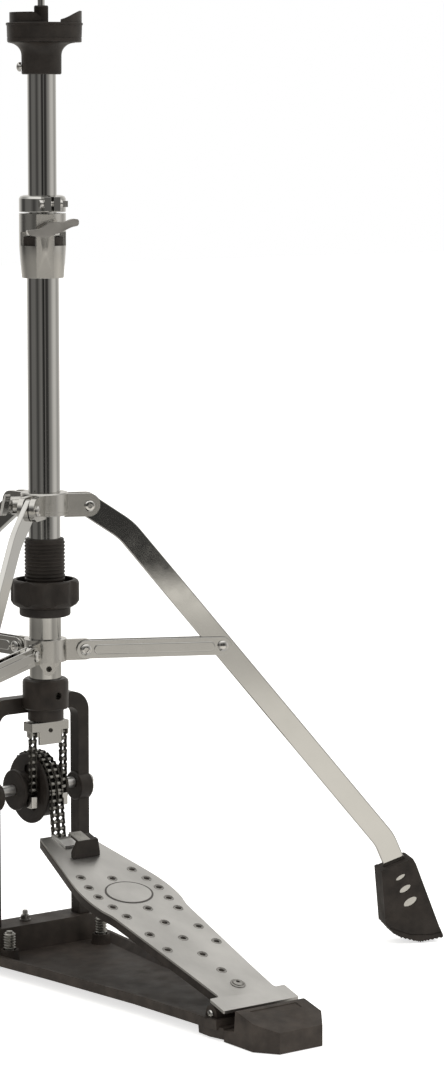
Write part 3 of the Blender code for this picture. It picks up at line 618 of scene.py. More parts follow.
def adjuster():
    """Threaded sleeve with two slots, ring below and lobed knob."""
    low, high = heights("tension_sleeve")
    pitch = 3.3
    root = SLEEVE_R - 0.8
    profile = [(ON_TUBE_R, low), (root, low)]
    start = 340
    count = int((high - start - 1.2) / pitch)
    for index in range(count):
        base = start + index * pitch
        profile += [(root, base), (SLEEVE_R, base + 0.8)]
        profile += [(SLEEVE_R, base + 1.9), (root, base + 2.6)]
    profile += [(root, high - 0.6), (root - 0.5, high), (ON_TUBE_R, high)]
    sleeve = lathe(profile)
    cut(sleeve, slot_pair(30, 310))
    dress(sleeve, "tension_thread", PLASTIC, "stand", "tension_sleeve", slot="black_plastic")

    bore = SLEEVE_R + 0.3
    collar = lathe([(bore, 317.8), (20.5, 317.8), (22.5, 318.6), (23, 320), (23, 326), (bore, 326)])
    cut(collar, slot_pair(21.3, 318.7, 324.3, 2.8))
    dress(collar, "tension_ring_shell", PLASTIC, "tension_lift", "tension_ring", bevel=0.4,
          slot="black_plastic")

    low, high = heights("tension_knob")
    rim = []
    count = 192
    for index in range(count):
        angle = 2 * pi * index / count
        radius = 29.7 + 1.3 * (1 - 2 * abs(sin(4 * angle)) ** 4)
        rim.append((radius * cos(angle), radius * sin(angle)))
    knob = flat_prism(rim, low, high)
    bowl = lathe([(0, low), (25, low), (28.6, low + 2.2), (31.3, low + 6), (31.3, high - 4),
                  (29.8, high - 1), (28, high), (0, high)])
    common(knob, bowl)
    cut(knob, post(bore, 300, 400), post(25.5, 343, 400))
    dress(knob, "tension_knob_shell", PLASTIC, "tension_turn", "tension_knob", bevel=0.5,
          slot="black_plastic")


# ---------------------------------------------------------------- tripod


def lug(pivot, height, start, half_thick, offset):
    """Flat ear from a collar out to a pivot, rounded about it."""
    radius = height / 2
    outline = [(start, pivot[1] - radius)]
    outline += arc(pivot, radius, -90, 90, 24)
    outline += [(start, pivot[1] + radius)]
    return side_prism(outline, offset - half_thick, offset + half_thick)


def dome(radius, base, rise=3):
    """Rounded end of a screw or nut from its rim up."""
    return [(radius * cos(radians(a)), base + rise * sin(radians(a))) for a in range(0, 90, 15)]


def bolt_shape(radius, half_length, head_radius, head):
    """Domed pin along Z with a socket in each head."""
    socket = head_radius * 0.42
    upper = [(head_radius, half_length), (head_radius, half_length + head * 0.35),
             (head_radius * 0.8, half_length + head * 0.82), (socket, half_length + head),
             (socket, half_length + head * 0.3), (0, half_length + head * 0.3)]
    lower = [(r, -z) for r, z in reversed(upper)]
    return lathe(lower + [(radius, -half_length), (radius, half_length)] + upper, FEW)


def top_collar():
    """Sliding collar with a raised band, three clevises and the wing bolt's boss."""
    low, high = heights("top_collar")
    body = lathe([(10, low + 2), (20.3, low + 2), (20.9, low + 2.8), (20.9, low + 5.4), (21.5, low + 6),
                  (21.5, high - 0.6), (20.8, high + 0.6), (10, high + 0.6)])
    for turn in LEG_TURNS:
        for side in (-1, 1):
            ear = lug((TOP_PIVOT[0] - 0.8, TOP_PIVOT[1] + 1), 21, 17, 2.5, side * 5.5)
            cross_hole(ear, 3.8, *TOP_PIVOT)
            join(body, turned(ear, turn))
    join(body, turned(outward(post(8, 18, 30, 40), LEG_WING_HEIGHT), WING_TURN))
    cut(body, post(ON_TUBE_R, 400, 440))
    screw_hole(body, 3.3, LEG_WING_HEIGHT, WING_TURN)
    dress(body, "top_collar_shell", SATIN_CHROME, "tripod_slider", "top_collar", bevel=0.5)
    for number, turn in enumerate(LEG_TURNS, 1):
        bolt = crosswise(bolt_shape(3.5, 8.2, 4.9, 2.2), *TOP_PIVOT)
        dress(turned(bolt, turn), f"leg_bolt_{number}_head", BRIGHT, "tripod_slider",
              f"leg_bolt_{number}")


def lower_collar():
    """Fixed collar with three tongues, a pointed tab below and its set screw."""
    body = ring(10, 19.2, 277, 297)
    for turn in LEG_TURNS:
        tongue = lug(LOW_PIVOT, 19, 15.5, 2.4, 0)
        cross_hole(tongue, 3.3, *LOW_PIVOT)
        join(body, turned(tongue, turn))
    screw_turn = radians(-23)
    height = 271.5
    outline = [(-10.5, 279)] + arc((0, height), 6, 190, 350, 16) + [(10.5, 279)]
    join(body, turned(front_prism(outline, 10, 17.6), screw_turn))
    cut(body, post(ON_TUBE_R, 250, 300))
    screw_hole(body, 2.6, height, screw_turn)
    dress(body, "lower_collar_shell", SATIN_CHROME, "stand", "lower_collar", bevel=0.5)
    screw = lathe([(0, 14.7), (2.3, 14.7), (2.3, 17.9), (1.3, 18.2), (1.2, 16.4), (0, 16.4)], FEW)
    dress(turned(outward(screw, height), screw_turn), "collar_set_screw", DARK_STEEL, "stand",
          "collar_screw", slot="steel")


def bar_outline(points, half_width):
    """Outline of a flat bar along a bent centre line, rounded at its first end."""
    sides = ([], [])
    for index, point in enumerate(points):
        before = points[max(index - 1, 0)]
        after = points[min(index + 1, len(points) - 1)]
        run = (after[0] - before[0], after[1] - before[1])
        size = sqrt(run[0] ** 2 + run[1] ** 2)
        normal = (-run[1] / size * half_width, run[0] / size * half_width)
        sides[0].append((point[0] + normal[0], point[1] + normal[1]))
        sides[1].append((point[0] - normal[0], point[1] - normal[1]))
    start = points[0]
    tail = Vector((sides[1][0][0] - start[0], sides[1][0][1] - start[1]))
    angle = tail.angle_signed(Vector((1, 0))) * 180 / pi
    cap = arc(start, half_width, angle, angle - 180, 24)[1:-1]
    return sides[0] + sides[1][::-1] + cap


def bent_path(corners, radii, count=14):
    """Centre line through corners, each inner one rounded to its radius."""
    path = [corners[0]]
    for before, corner, after, radius in zip(corners, corners[1:], corners[2:], radii):
        start = Vector(before) - Vector(corner)
        end = Vector(after) - Vector(corner)
        opening = start.angle(end)
        reach = radius * cos(opening / 2) / sin(opening / 2)
        first = Vector(corner) + start.normalized() * reach
        last = Vector(corner) + end.normalized() * reach
        for index in range(count + 1):
            blend = index / count
            low = first.lerp(Vector(corner), blend)
            high = Vector(corner).lerp(last, blend)
            path.append(tuple(low.lerp(high, blend)))
    path.append(corners[-1])
    return path


def leg_outline(extra=0):
    """Side view of a leg, wider all round by extra."""
    path = bent_path([TOP_PIVOT, (74.5, 393.3), (318, 97), (335, 57), (346, 30)], [60, 40, 30])
    return bar_outline(path, LEG_WIDTH / 2 + extra)


def oval(center, along, across, tilt, count=32):
    """Points of an ellipse about a centre, turned by a tilt."""
    points = []
    for index in range(count):
        angle = 2 * pi * index / count
        a = along * cos(angle)
        b = across * sin(angle)
        points.append((center[0] + a * cos(tilt) - b * sin(tilt),
                       center[1] + a * sin(tilt) + b * cos(tilt)))
    return points


def foot_profile():
    """Side view of the rubber foot with a scalloped sole."""
    top = [(312, 69.8), (313.6, 70.8), (316, 71), (337, 78.5), (339.5, 81), (342, 80.5), (345, 75.5),
           (368, 15), (371.5, 7.5), (372, 5)]
    sole = [(370.5, 3.6), (358, 1.6), (350, 0.4), (344, 1.8), (331.5, 5.5), (324.5, 9.5), (316.5, 18.5)]
    teeth = 3
    points = top
    for (ax, az), (bx, bz) in zip(sole, sole[1:]):
        for index in range(teeth):
            low = index / teeth
            notch = (index + 0.72) / teeth
            points.append((ax + (bx - ax) * low, az + (bz - az) * low))
            points.append((ax + (bx - ax) * notch, az + (bz - az) * notch + 1.1))
    return points + sole[-1:]


def legs():
    """Bent bars with eased edges, in rubber feet with a moulded ridge and three windows."""
    windows = [((330.5, 63), (5, 2)), ((335, 52), (6, 2.75)), ((340, 39.5), (7, 3.5))]
    for number, turn in enumerate(LEG_TURNS, 1):
        leg = side_prism(leg_outline(), -2.5, 2.5)
        cross_hole(leg, 3.8, *TOP_PIVOT)
        body = f"leg_{number}_body"
        dress(turned(leg, turn), f"leg_{number}_bar", CHROME, body, f"leg_{number}",
              bevel=0.9, segments=3)
        foot = side_prism(foot_profile(), -13, 13)
        cut(foot, side_prism(leg_outline(0.3), -2.8, 2.8))
        for center, size in windows:
            shape = oval(center, *size, radians(30))
            cut(foot, side_prism(shape, -20, 20))
            inlay = turned(side_prism(shape, -11.8, 11.8), turn)
            dress(inlay, f"foot_{number}_inlay_{center[1]}", SATIN_CHROME, body)
        for side in (-1, 1):
            groove = bar_outline([(300, 22), (322, 15), (340, 8.5), (360, 7.5), (380, 11)], 0.5)
            cut(foot, mirrored(side_prism(groove, 12.3, 14), side))
        dress(turned(foot, turn), f"foot_{number}_boot", RUBBER, body, f"foot_{number}",
              bevel=0.8, slot="rubber")


def rounded_strip(start, end, radius, count):
    """Outline of a strip with round ends about two points."""
    return arc(start, radius, 90, 270, count) + arc(end, radius, -90, 90, count)


def braces():
    """Pairs of strips between the lower collar and the legs, with their rivets."""
    near = (LOW_PIVOT[0] + 12, LOW_PIVOT[1])
    far = (BRACE_PIVOT[0] - 12, BRACE_PIVOT[1])
    for number, turn in enumerate(LEG_TURNS, 1):
        body = f"brace_{number}_body"
        for side, word in SIDES:
            strip = side_prism(rounded_strip(LOW_PIVOT, BRACE_PIVOT, 8.3, 24), 2.8, 5.0)
            ridge = mirrored(side_prism(rounded_strip(near, far, 4.6, 16), 4, 6), side)
            dress(turned(ridge, turn), f"brace_{number}_{word}_ridge", CHROME, body,
                  bevel=0.9, segments=3)
            cross_hole(strip, 3.3, *LOW_PIVOT)
            dress(turned(mirrored(strip, side), turn), f"brace_{number}_{word}_strip", CHROME, body,
                  f"brace_{number}_{word}", bevel=0.5)
            head = lathe([(0, 5.05), (5, 5.05), (5, 5.9), (3.8, 6.8), (1.8, 7.3), (0, 7.3)], FEW)
            crosswise(head, *BRACE_PIVOT)
            dress(turned(mirrored(head, side), turn), f"brace_{number}_{word}_rivet", BRIGHT, body)
        rivet = crosswise(bolt_shape(3, 5.6, 5.2, 1.9), *LOW_PIVOT)
        dress(turned(rivet, turn), f"brace_{number}_pivot", BRIGHT, "stand", f"brace_rivet_{number}")


# ---------------------------------------------------------------- pedal frame and base


def pedal_frame():
    """Cast collar and arch with rounded corners, and bosses for the axle."""
    out, inn, deep = 54.25, 42.75, 6.65
    top_out, top_in, out_round, in_round = 243, 229, 18, 9
    low = BRIDGE_HIGH + 0.3
    outline = [(out, low)]
    outline += arc((out - out_round, top_out - out_round), out_round, 0, 90, 20)
    outline += arc((-out + out_round, top_out - out_round), out_round, 90, 180, 20)
    outline += [(-out, low), (-inn, low)]
    outline += arc((-inn + in_round, top_in - in_round), in_round, 180, 90, 14)
    outline += arc((inn - in_round, top_in - in_round), in_round, 90, 0, 14)
    outline += [(inn, low)]
    body = front_prism(outline, AXLE_FORWARD - deep, AXLE_FORWARD + deep)
    collar = lathe([(0, 223), (15.8, 223), (16.2, 223.5), (16.2, 234), (19.8, 233.6), (20.8, 234.8),
                    (20.8, 257.6), (20.2, 259.6), (18.4, 261), (0, 261)])
    join(body, collar)
    for side in (-1, 1):
        boss = lathe([(0, 41), (12.2, 41), (13.2, 42), (13.2, 54), (11.4, 56), (0, 56)], 56)
        join(body, mirrored(crosswise(boss, AXLE_FORWARD, AXLE_HEIGHT - 3.6), side))
    cut(body, post(ON_TUBE_R, 226, 270), post(12, 200, 230))
    cross_hole(body, AXLE_R + 0.3, *AXLE, 40)
    height = 247
    screw_hole(body, 3.3, height)
    dress(body, "pedal_arch", PAINT, "pedal", "pedal_frame", bevel=2, segments=3, slot="black_metal")
    screw = lathe([(0, 14.8), (3, 14.8), (3, 18.6), (1.7, 19.2), (1.6, 17), (0, 17)], FEW)
    dress(outward(screw, height), "frame_set_screw", DARK_STEEL, "pedal", "frame_screw",
          slot="black_metal")


def base_outline(inset):
    """Plan of the base, wide at the axle and narrow at the heel."""
    corners = [(70, -38), (70, 0), (58, 90), (46, 200), (40, 311)]
    right = [(a - inset, b) for a, b in corners]
    right[0] = (right[0][0], right[0][1] + inset)
    right[-1] = (right[-1][0], right[-1][1] - inset)
    return right + [(-a, b) for a, b in reversed(right)]


def base_plate():
    """Shallow tray on a sole and two pads, with a bridge, spur bosses and hinge lugs."""
    underside = 9
    floor = 12
    base = flat_prism(base_outline(0.8), underside, 18, base_outline(0))
    cut(base, flat_prism(base_outline(11), floor, 19, base_outline(2.4)))
    bridge = flat_prism(rectangle(63, -37, -3), 11, BRIDGE_HIGH, rectangle(61, -35, -5))
    tail_plan = [(39, 284), (39.5, 300), (36, 315.6), (-36, 315.6), (-39.5, 300), (-39, 284)]
    narrow_plan = [(a - copysign(1, a), b) for a, b in tail_plan]
    tail = flat_prism(narrow_plan, 1.5, 11.5, tail_plan)
    sole = block((-24, 24), (-30, 60), (0, 11))
    join(base, bridge, tail, sole)
    for side in (-1, 1):
        boss = standing(lathe([(0, 11), (9, 11), (8, 21), (0, 21)], 40), SPUR_ACROSS * side, SPUR_FORWARD)
        pad = standing(post(7, 0, 11, 40), 60 * side, -27)
        outline = [(289, 11), (307, 11)] + arc(HEEL, 7.5, 0, 180, 24)
        ear = mirrored(side_prism(outline, 15, 35.5), side)
        join(base, boss, pad, ear)
        cut(base, standing(post(6, -5, 30, FEW), SPUR_ACROSS * side, SPUR_FORWARD))
    cut(base, standing(post(3.8, 24, 50, FEW), *BRIDGE_BOLT))
    cross_hole(base, 3.3, *HEEL)
    dress(base, "base_tray", TRAY, "pedal", "base_plate", bevel=0.9, segments=3, slot="black_plastic")


def hexagon(radius, low, high):
    """Upright six-sided prism."""
    return flat_prism([(radius * cos(pi * i / 3), radius * sin(pi * i / 3)) for i in range(6)], low, high)


def threaded(radius, low, high, pitch=1.25, depth=0.5):
    """Screw thread drawn as rings."""
    profile = [(0, low), (radius - depth, low)]
    count = int((high - low) / pitch)
    for index in range(count):
        base = low + index * pitch
        profile += [(radius - depth, base + 0.1 * pitch), (radius, base + 0.5 * pitch),
                    (radius - depth, base + 0.9 * pitch)]
    profile += [(radius - depth, high), (0, high)]
    return lathe(profile, FEW)


def base_fittings():
    """Bolt on the bridge, floor spurs, heel block and hinge pin."""
    nut_low = BRIDGE_HIGH + 0.3
    nut = join(hexagon(4.6, nut_low + 1, nut_low + 4.6), post(5, nut_low, nut_low + 1.1, FEW))
    bolt = join(nut, threaded(2.8, 26, 44.5))
    dress(standing(bolt, *BRIDGE_BOLT), "bridge_bolt", STEEL, "pedal", "base_bolt", bevel=0.25)
    for side, word in SIDES:
        spur = join(lathe([(0, 3), (3.6, 9), (3.6, 10), (0, 10)], FEW), threaded(4, 9.5, 21.5),
                    threaded(5.6, 21.5, 36, 2.4, 1.3), hexagon(3, 35.5, 37.5))
        dress(standing(spur, SPUR_ACROSS * side, SPUR_FORWARD), f"floor_spur_{word}", ROLLER,
              f"spur_{word}_body", f"spur_{word}")
    plan = [(36, 316), (36, 355.6), (22.3, 374.6), (-22.3, 374.6), (-36, 355.6), (-36, 316)]
    heel = flat_prism(plan, 0, 40)
    view = [(315, -1), (376, -1), (376, 17.5), (355, 24), (334, 29.5), (331.5, 29.5), (330, 12),
            (315, 10)]
    common(heel, side_prism(view, -50, 50))
    slope = (29.5 - 24) / (355 - 334)
    panel = block((-24, 24), (336.5, 344.5), (0, 10))
    cut(heel, raised(panel, lambda forward: 29.5 - 0.9 - slope * (forward - 334)))
    dress(heel, "heel_cap", HEEL_RUBBER, "pedal", "heel_block", bevel=1.3, segments=3, slot="rubber")
    pin = crosswise(bolt_shape(3, 35.8, 3.6, 2), *HEEL)
    dress(pin, "heel_pin", CHROME, "pedal", "hinge_pin")


# ---------------------------------------------------------------- footboard


def board_level(forward):
    """Height of the footboard's upper face, which falls towards the heel."""
    return 27.6 + (322 - forward) * 0.31


def board_outline(inset):
    """Plan of the footboard: narrow toe, broad belly, waist and a crosspiece at the heel."""
    knots = [(22.5, 23), (34, 71), (40, 96), (43.6, 115), (44.5, 134), (42.9, 149), (39.5, 161),
             (37.6, 182), (31.8, 255), (29, 297)]
    right = smooth_curve(knots, 5)
    right += [(29.3, 299.5), (30.5, 301), (38.5, 301), (39.5, 302), (39.5, 320), (38.5, 321)]
    right = [(a - inset, b) for a, b in right]
    right[0] = (right[0][0], right[0][1] + inset)
    return right + [(-a, b) for a, b in reversed(right)]


def sloped(item, lift=0):
    """Shear a level shape so that it follows the footboard."""
    return raised(item, lambda forward: board_level(forward) + lift)


HOLE_ROW = (104, 158, 183, 210, 238, 265)
HOLE_PAIRS = ((95, 27.5), (112.5, 31), (129, 32.5), (147.5, 30), (165, 27.5), (197, 26), (223, 26))


def footboard():
    """Drilled sheet with turned-down edges, hinge knuckle, plain oval badge and toe block."""
    sheet = 2.5
    board = flat_prism(board_outline(0), -9, 0)
    cut(board, flat_prism(board_outline(2.2), -20, -sheet))
    cut(board, block((-60, 60), (286, 330), (-20, -sheet)))
    holes = [(0, forward) for forward in HOLE_ROW]
    holes += [(side * across, forward) for forward, across in HOLE_PAIRS for side in (-1, 1)]
    for spot in holes:
        cut(board, standing(post(2.7, -20, 5, 24), *spot))
    cut(board, block((-7, 8), (15, 26.5), (-20, 5)))
    sloped(board)
    knuckle = crosswise(post(6.5, -14, 14, 40), *HEEL)
    web = block((-14, 14), (293, 303), (HEEL[1], 33.5))
    join(board, knuckle, web)
    cross_hole(board, 3.3, *HEEL)
    dress(board, "foot_plate", ALUMINIUM, "board", "footboard", bevel=0.45, slot="aluminium")

    rims = []
    hole_shade_discs = []
    for spot in holes:
        rim = lathe([(2.9, 0.05), (4.6, 0.05), (4.2, 0.5), (3.5, 0.55), (2.9, -0.7)], 24)
        rims.append(standing(rim, *spot))
        # Painted shade: a black disc just under each hole stands in for the shade inside it.
        hole_shade_discs.append(standing(post(3, -2.3, -0.8, 24), *spot))
    dress(sloped(gather(rims), 0.02), "board_eyelets", STEEL, "board", slot="aluminium")
    dress(sloped(gather(hole_shade_discs)), "board_hole_shadows", RUBBER, "board", slot="black_metal")

    # Black bands over the outer faces of the turned-down edges, from near the bottom to 2 mm under the
    # top.
    edge = board_outline(0)[:46]
    strip = [(a + 0.25, b) for a, b in edge] + [(a - 0.6, b) for a, b in reversed(edge)]
    dark_edge_bands = [sloped(mirrored(flat_prism(strip, -8.8, -2), side)) for side in (-1, 1)]
    dress(gather(dark_edge_bands), "board_edge_strip", PAINT, "board", slot="black_metal")

    screw = lathe([(0, 0), (6.6, 0), (6.4, 0.6), (5, 0.7), (4.6, 0.2), (4.2, 1.3), (3, 1.9), (1.7, 2),
                   (1.6, 0.6), (0, 0.6)], 40)
    sloped(standing(screw, 0, 288), 0.1)
    dress(screw, "board_screw", STEEL, "board")

    center = (0, 129.6)
    ovals = (("badge_rim", 0.98, 0.1, BADGE_RING), ("badge_plate", 0.905, 0.2, ALUMINIUM))
    for name, size, low, surface in ovals:
        shape = flat_prism(oval(center, 23.3 * size, 18.6 * size, 0, 72), low, low + 0.4)
        dress(sloped(shape), name, surface, "board", bevel=0.15, slot="aluminium")

    face = [(-15, 0), (13.5, 0), (13.5, 4), (11.5, 15.5), (-9, 15.5), (-15, 5)]
    stop = front_prism(face, 61.5, 65.5)
    join(stop, block((-9, 11.5), (52, 64), (13, 14.5)))
    dress(sloped(stop, 0.3), "toe_stop", PLASTIC, "board", "toe_block", bevel=1,
          segments=3, slot="black_plastic")
    cap = block((-9.2, 4), (49, 64.6), (14.6, 15.9))
    dress(sloped(cap, 0.3), "toe_stop_cap", ROLLER, "board", bevel=0.6)

    clip = block((-11, 10.5), (35, 46.5), (0, 2.5))
    for across in (-11, 8):
        join(clip, block((across, across + 2.5), (24, 36), (-1, 2)))
    dress(sloped(clip, 0.3), "toe_clip", CLIP, "board", "chain_clip", bevel=0.6)


# ---------------------------------------------------------------- chain drive


def link_plate(start, end, half_height, low, high):
    """Figure-eight side plate between two pins given as (forward, up)."""
    run = Vector(end) - Vector(start)
    angle = atan2(run[1], run[0]) * 180 / pi
    waist = half_height * 0.62
    side = Vector((-run[1], run[0])).normalized()
    middle = (Vector(start) + Vector(end)) / 2
    outline = arc(end, half_height, angle - 60, angle + 60, 8)
    outline += [tuple(middle + side * waist)]
    outline += arc(start, half_height, angle + 120, angle + 240, 8)
    outline += [tuple(middle - side * waist)]
    return side_prism(outline, low, high)


def chain(points, centers, width):
    """Roller chain through pins at (forward, up) points, one strand per centre."""
    dark = []
    bright = []
    half = width / 2
    for center in centers:
        for index, (start, end) in enumerate(zip(points, points[1:])):
            offset = half - (0.3 if index % 2 else 1.1)
            for side in (-1, 1):
                inner = center + side * offset
                outer = center + side * (offset + 0.7)
                dark.append(link_plate(start, end, 2.75, min(inner, outer), max(inner, outer)))
        for point in points:
            bright.append(crosswise(post(1.65, center - half + 1, center + half - 1, 14), *point))
    first, last = min(centers) - half, max(centers) + half
    for point in points:
        for low, high in ((first - 0.9, first + 0.6), (last - 0.6, last + 0.9)):
            bright.append(crosswise(post(1.25, low, high, 12), *point))
    return gather(dark), gather(bright)


def arc_points(radius, start, end):
    """Pins along an arc about the axle, from a start angle to about an end angle."""
    step = 2 * asin(CHAIN_PITCH / 2 / radius)
    count = int(radians(end - start) / step)
    points = []
    for index in range(count + 1):
        angle = radians(start) + step * index
        points.append((AXLE_FORWARD + radius * cos(angle), AXLE_HEIGHT + radius * sin(angle)))
    return points


def dress_chain(pair, name, body, *nodes):
    """Dress a chain's dark plates and bright rollers as two pieces."""
    plates, rollers = pair
    dress(plates, f"{name}_plates", DARK_STEEL, body, *nodes, slot="steel")
    dress(rollers, f"{name}_rollers", ROLLER, body, slot="steel")


def wheels():
    """Axle, the drive wheel with its flanged rim and the two anchor wheels."""
    dress(crosswise(post(AXLE_R, -60, 60, 40), *AXLE), "axle_shaft", CHROME, "drive_wheel", "axle",
          bevel=0.5)
    bore = AXLE_R + 0.3
    wheel = lathe([(0, -9.2), (31, -9.2), (32, -8.4), (32, -6.9), (31, -6.2), (27, -6.2), (27, 8),
                   (0, 8)])
    crosswise(wheel, *AXLE)
    for index in range(5):
        angle = 2 * pi * index / 5 + 0.3
        spot = (AXLE[0] + 17 * cos(angle), AXLE[1] + 17 * sin(angle))
        cut(wheel, crosswise(post(5.2, -12, -7.6, 32), *spot))
    boss = lathe([(0, -11.8), (8, -11.8), (9, -11), (9, 10.8), (0, 10.8)], 40)
    join(wheel, crosswise(boss, *AXLE))
    cross_hole(wheel, bore, *AXLE, 40)
    dress(wheel, "drive_wheel_rim", PLASTIC, "drive_wheel", "center_cam", bevel=0.5, slot="black_plastic")
    wrap = chain(arc_points(DRIVE_RADIUS, 3, 172), DRIVE_STRANDS, STRAND_WIDTH)
    dress_chain(wrap, "wheel_chain", "drive_wheel")
    for side, word in SIDES:
        disc = lathe([(0, 12.2), (15.2, 12.2), (16.2, 13), (16.2, 20.6), (18, 20.6), (18.6, 21.2),
                      (18.6, 23.6), (17.6, 24.4), (0, 24.4)], 56)
        crosswise(disc, *AXLE)
        cross_hole(disc, bore, *AXLE, 40)
        dress(mirrored(disc, side), f"anchor_wheel_{word}", PLASTIC, "drive_wheel", f"side_cam_{word}",
              bevel=0.4, slot="black_plastic")
        inner = AXLE_R + 0.05
        sleeve = lathe([(inner, 24.5), (4.8, 24.5), (5, 24.8), (5, 40.6), (inner, 40.6)], 40)
        dress(mirrored(crosswise(sleeve, *AXLE), side), f"axle_sleeve_{word}", CLIP, "drive_wheel")
        anchor = block((13.2, 19.6), (-3, 6), (143.5, 154.5))
        dress(mirrored(anchor, side), f"chain_anchor_{word}", BRIGHT, "drive_wheel", bevel=0.8)
        nut = lathe([(bore, 56.3), (5.6, 56.3)] + dome(5.6, 59) + [(0, 62), (0, 60.4), (bore, 60.4)], 40)
        dress(mirrored(crosswise(nut, *AXLE), side), f"dome_nut_{word}", BRIGHT, "drive_wheel",
              f"axle_nut_{word}")


def hanging_chains():
    """The free chain down to the toe and the two chains up to the yoke."""
    top = Vector((AXLE_FORWARD + DRIVE_RADIUS, AXLE_HEIGHT + 1))
    along = (top - Vector(CHAIN_PIN)).normalized()
    points = [tuple(Vector(CHAIN_PIN) + along * CHAIN_PITCH * index) for index in range(-1, 7)]
    pair = chain(points, DRIVE_STRANDS, STRAND_WIDTH)
    dress_chain(pair, "drive_chain", "drive_chain_body", "drive_chain")
    for side, word in SIDES:
        points = [(ROD_CHAIN_FORWARD, 211 - CHAIN_PITCH * index) for index in range(9)]
        pair = chain(points, (side * ROD_CHAIN_ACROSS,), 5.6)
        dress_chain(pair, f"rod_chain_{word}", "rod", f"rod_chain_{word}")


def yoke():
    """Rod with its stop, and the yoke that joins the rod to its two chains."""
    low, high = heights("pull_rod")
    rod = lathe([(0, low), (ROD_R, low), (ROD_R, 430.8), (10.8, 430.8), (10.8, 436.8), (ROD_R, 436.8),
                 (ROD_R, high - 1), (ROD_R - 1, high), (0, high)], 40)
    dress(rod, "long_rod", CHROME, "rod", "pull_rod")
    body = block((-20, 20), (-6.5, 8), (213.4, 222))
    join(body, block((-12, 12), (5, 8), (201.3, 221)))
    cut(body, post(ROD_R + 0.3, 200, 230, 40))
    dress(body, "rod_yoke", SATIN_CHROME, "rod", "chain_yoke", bevel=0.8, segments=3)
    ears = []
    profile = [(-1, 214.5), (-1, 209), (3, 207.5), (7, 209), (7, 214.5)]
    for side in (-1, 1):
        for edge in (12.8, 18.9):
            ear = side_prism(profile, edge, edge + 1)
            ears.append(mirrored(ear, side))
    dress(gather(ears), "yoke_ears", SATIN_CHROME, "rod")
    screw = outward(lathe([(0, 8.05), (2, 8.05), (1.8, 8.8), (0.9, 9), (0.9, 8.4), (0, 8.4)], FEW), 214)
    dress(screw, "yoke_screw", DARK_STEEL, "rod", slot="steel")


def coil(low, high, turns):
    """Round wire wound up about the rod, closed at both ends."""
    mesh = bmesh.new()
    loops = []
    count = 80
    for step in range(count + 1):
        angle = 2 * pi * turns * step / count
        height = low + (high - low) * step / count
        loop = []
        for side in range(8):
            tilt = 2 * pi * side / 8
            radius = 9 + WIRE_R * cos(tilt)
            place = (radius * cos(angle), radius * sin(angle), height + WIRE_R * sin(tilt))
            loop.append(mesh.verts.new(place))
        loops.append(loop)
    for before, after in zip(loops, loops[1:]):
        for side in range(8):
            other = (side + 1) % 8
            mesh.faces.new([before[side], before[other], after[other], after[side]])
    mesh.faces.new(loops[0])
    mesh.faces.new(loops[-1])
    return to_object(mesh)


def return_spring():
    """Coil in two halves with a gap of part of a turn, in which the upper one swivels with the rod."""
    low, high = 324.7 + WIRE_R, 430.2 - WIRE_R
    middle = 377
    gap = 0.11
    lower = coil(low, middle - gap * (middle - low) / 4, 4 - gap)
    dress(lower, "spring_coil_lower", STEEL, "tension_lift", slot="steel")
    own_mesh(lower)
    upper = coil(middle, high, 4)
    dress(upper, "spring_coil_upper", STEEL, "rod", "return_spring", slot="steel")
    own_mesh(upper)


def hidden_pieces():
    """Pieces inside the stand keep their own solids and get a surface."""
    for node, surface in (("clamp_bushing", NYLON), ("spring_seat", STEEL)):
        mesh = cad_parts[node].data
        mesh.materials.clear()
        mesh.materials.append(surface)


# ---------------------------------------------------------------- studio


def warm(value, green=0.985, blue=0.95):
    """Brightness as a slightly warm white."""
    return value, value * green, value * blue


def share_of(tree, source, low, high):
    """Where a value lies between two limits, from 0 to 1."""
    limits = {"Value": source, "From Min": low, "From Max": high}
    return node(tree, "MapRange", limits).outputs["Result"]


def band_ramp(tree, source, panels):
    """Colour ramp round the horizon from (degrees right of the camera, brightness) panels."""
    stops = []
    for degrees_right, value in panels:
        turn = VIEW_TURN - radians(degrees_right)
        stops.append((((turn + pi) / (2 * pi)) % 1.0, warm(value, 0.975, 0.93)))
    return color_ramp(tree, source, sorted(stops))


def height_ramp(tree, source, levels):
    """Colour ramp over (height, brightness) levels, heights in -1 to 1."""
    low, high = levels[0][0], levels[-1][0]
    stops = [((level - low) / (high - low), warm(value)) for level, value in levels]
    return color_ramp(tree, share_of(tree, source, low, high), stops)


def mix(tree, factor, first, second, blend_type="MIX"):
    """Mix two colours by a factor from 0 to 1."""
    inputs = {"Factor": factor, 6: first, 7: second}
    return node(tree, "Mix", inputs, data_type="RGBA", blend_type=blend_type).outputs[2]


UPPER_PANELS = [(-150, 0.75), (-130, 0.38), (-115, 0.07), (-100, 0.07), (-90, 0.16), (-62, 0.17),
                (-50, 0.1), (-42, 0.06), (-34, 0.1), (-26, 0.16), (-14, 0.2), (-8, 0.13), (-1, 0.025),
                (8, 0.025), (12, 0.19), (15, 0.14), (18, 0.045), (24, 0.045), (35, 0.09), (43, 0.22),
                (56, 0.3), (66, 0.5), (76, 0.64), (92, 0.68), (104, 0.54), (116, 0.38), (130, 0.5),
                (160, 0.8)]
LOWER_PANELS = [(-150, 0.8), (-125, 0.4), (-105, 0.25), (-60, 0.34), (-28, 0.34), (-18, 0.6), (-4, 0.78),
                (8, 0.84), (20, 0.86), (26, 0.92), (40, 0.9), (56, 0.5), (70, 0.55), (95, 0.7), (130, 0.6)]
SHADE_BY_HEIGHT = [(-0.2, 1), (-0.172, 0.95), (-0.162, 0.68), (-0.15, 0.6), (-0.142, 0.98), (-0.12, 1)]
OVERHEAD = [(0.3, 0.6), (0.5, 0.45), (0.6, 0.5), (0.66, 0.68), (0.72, 1), (0.86, 1.1), (1, 0.9)]


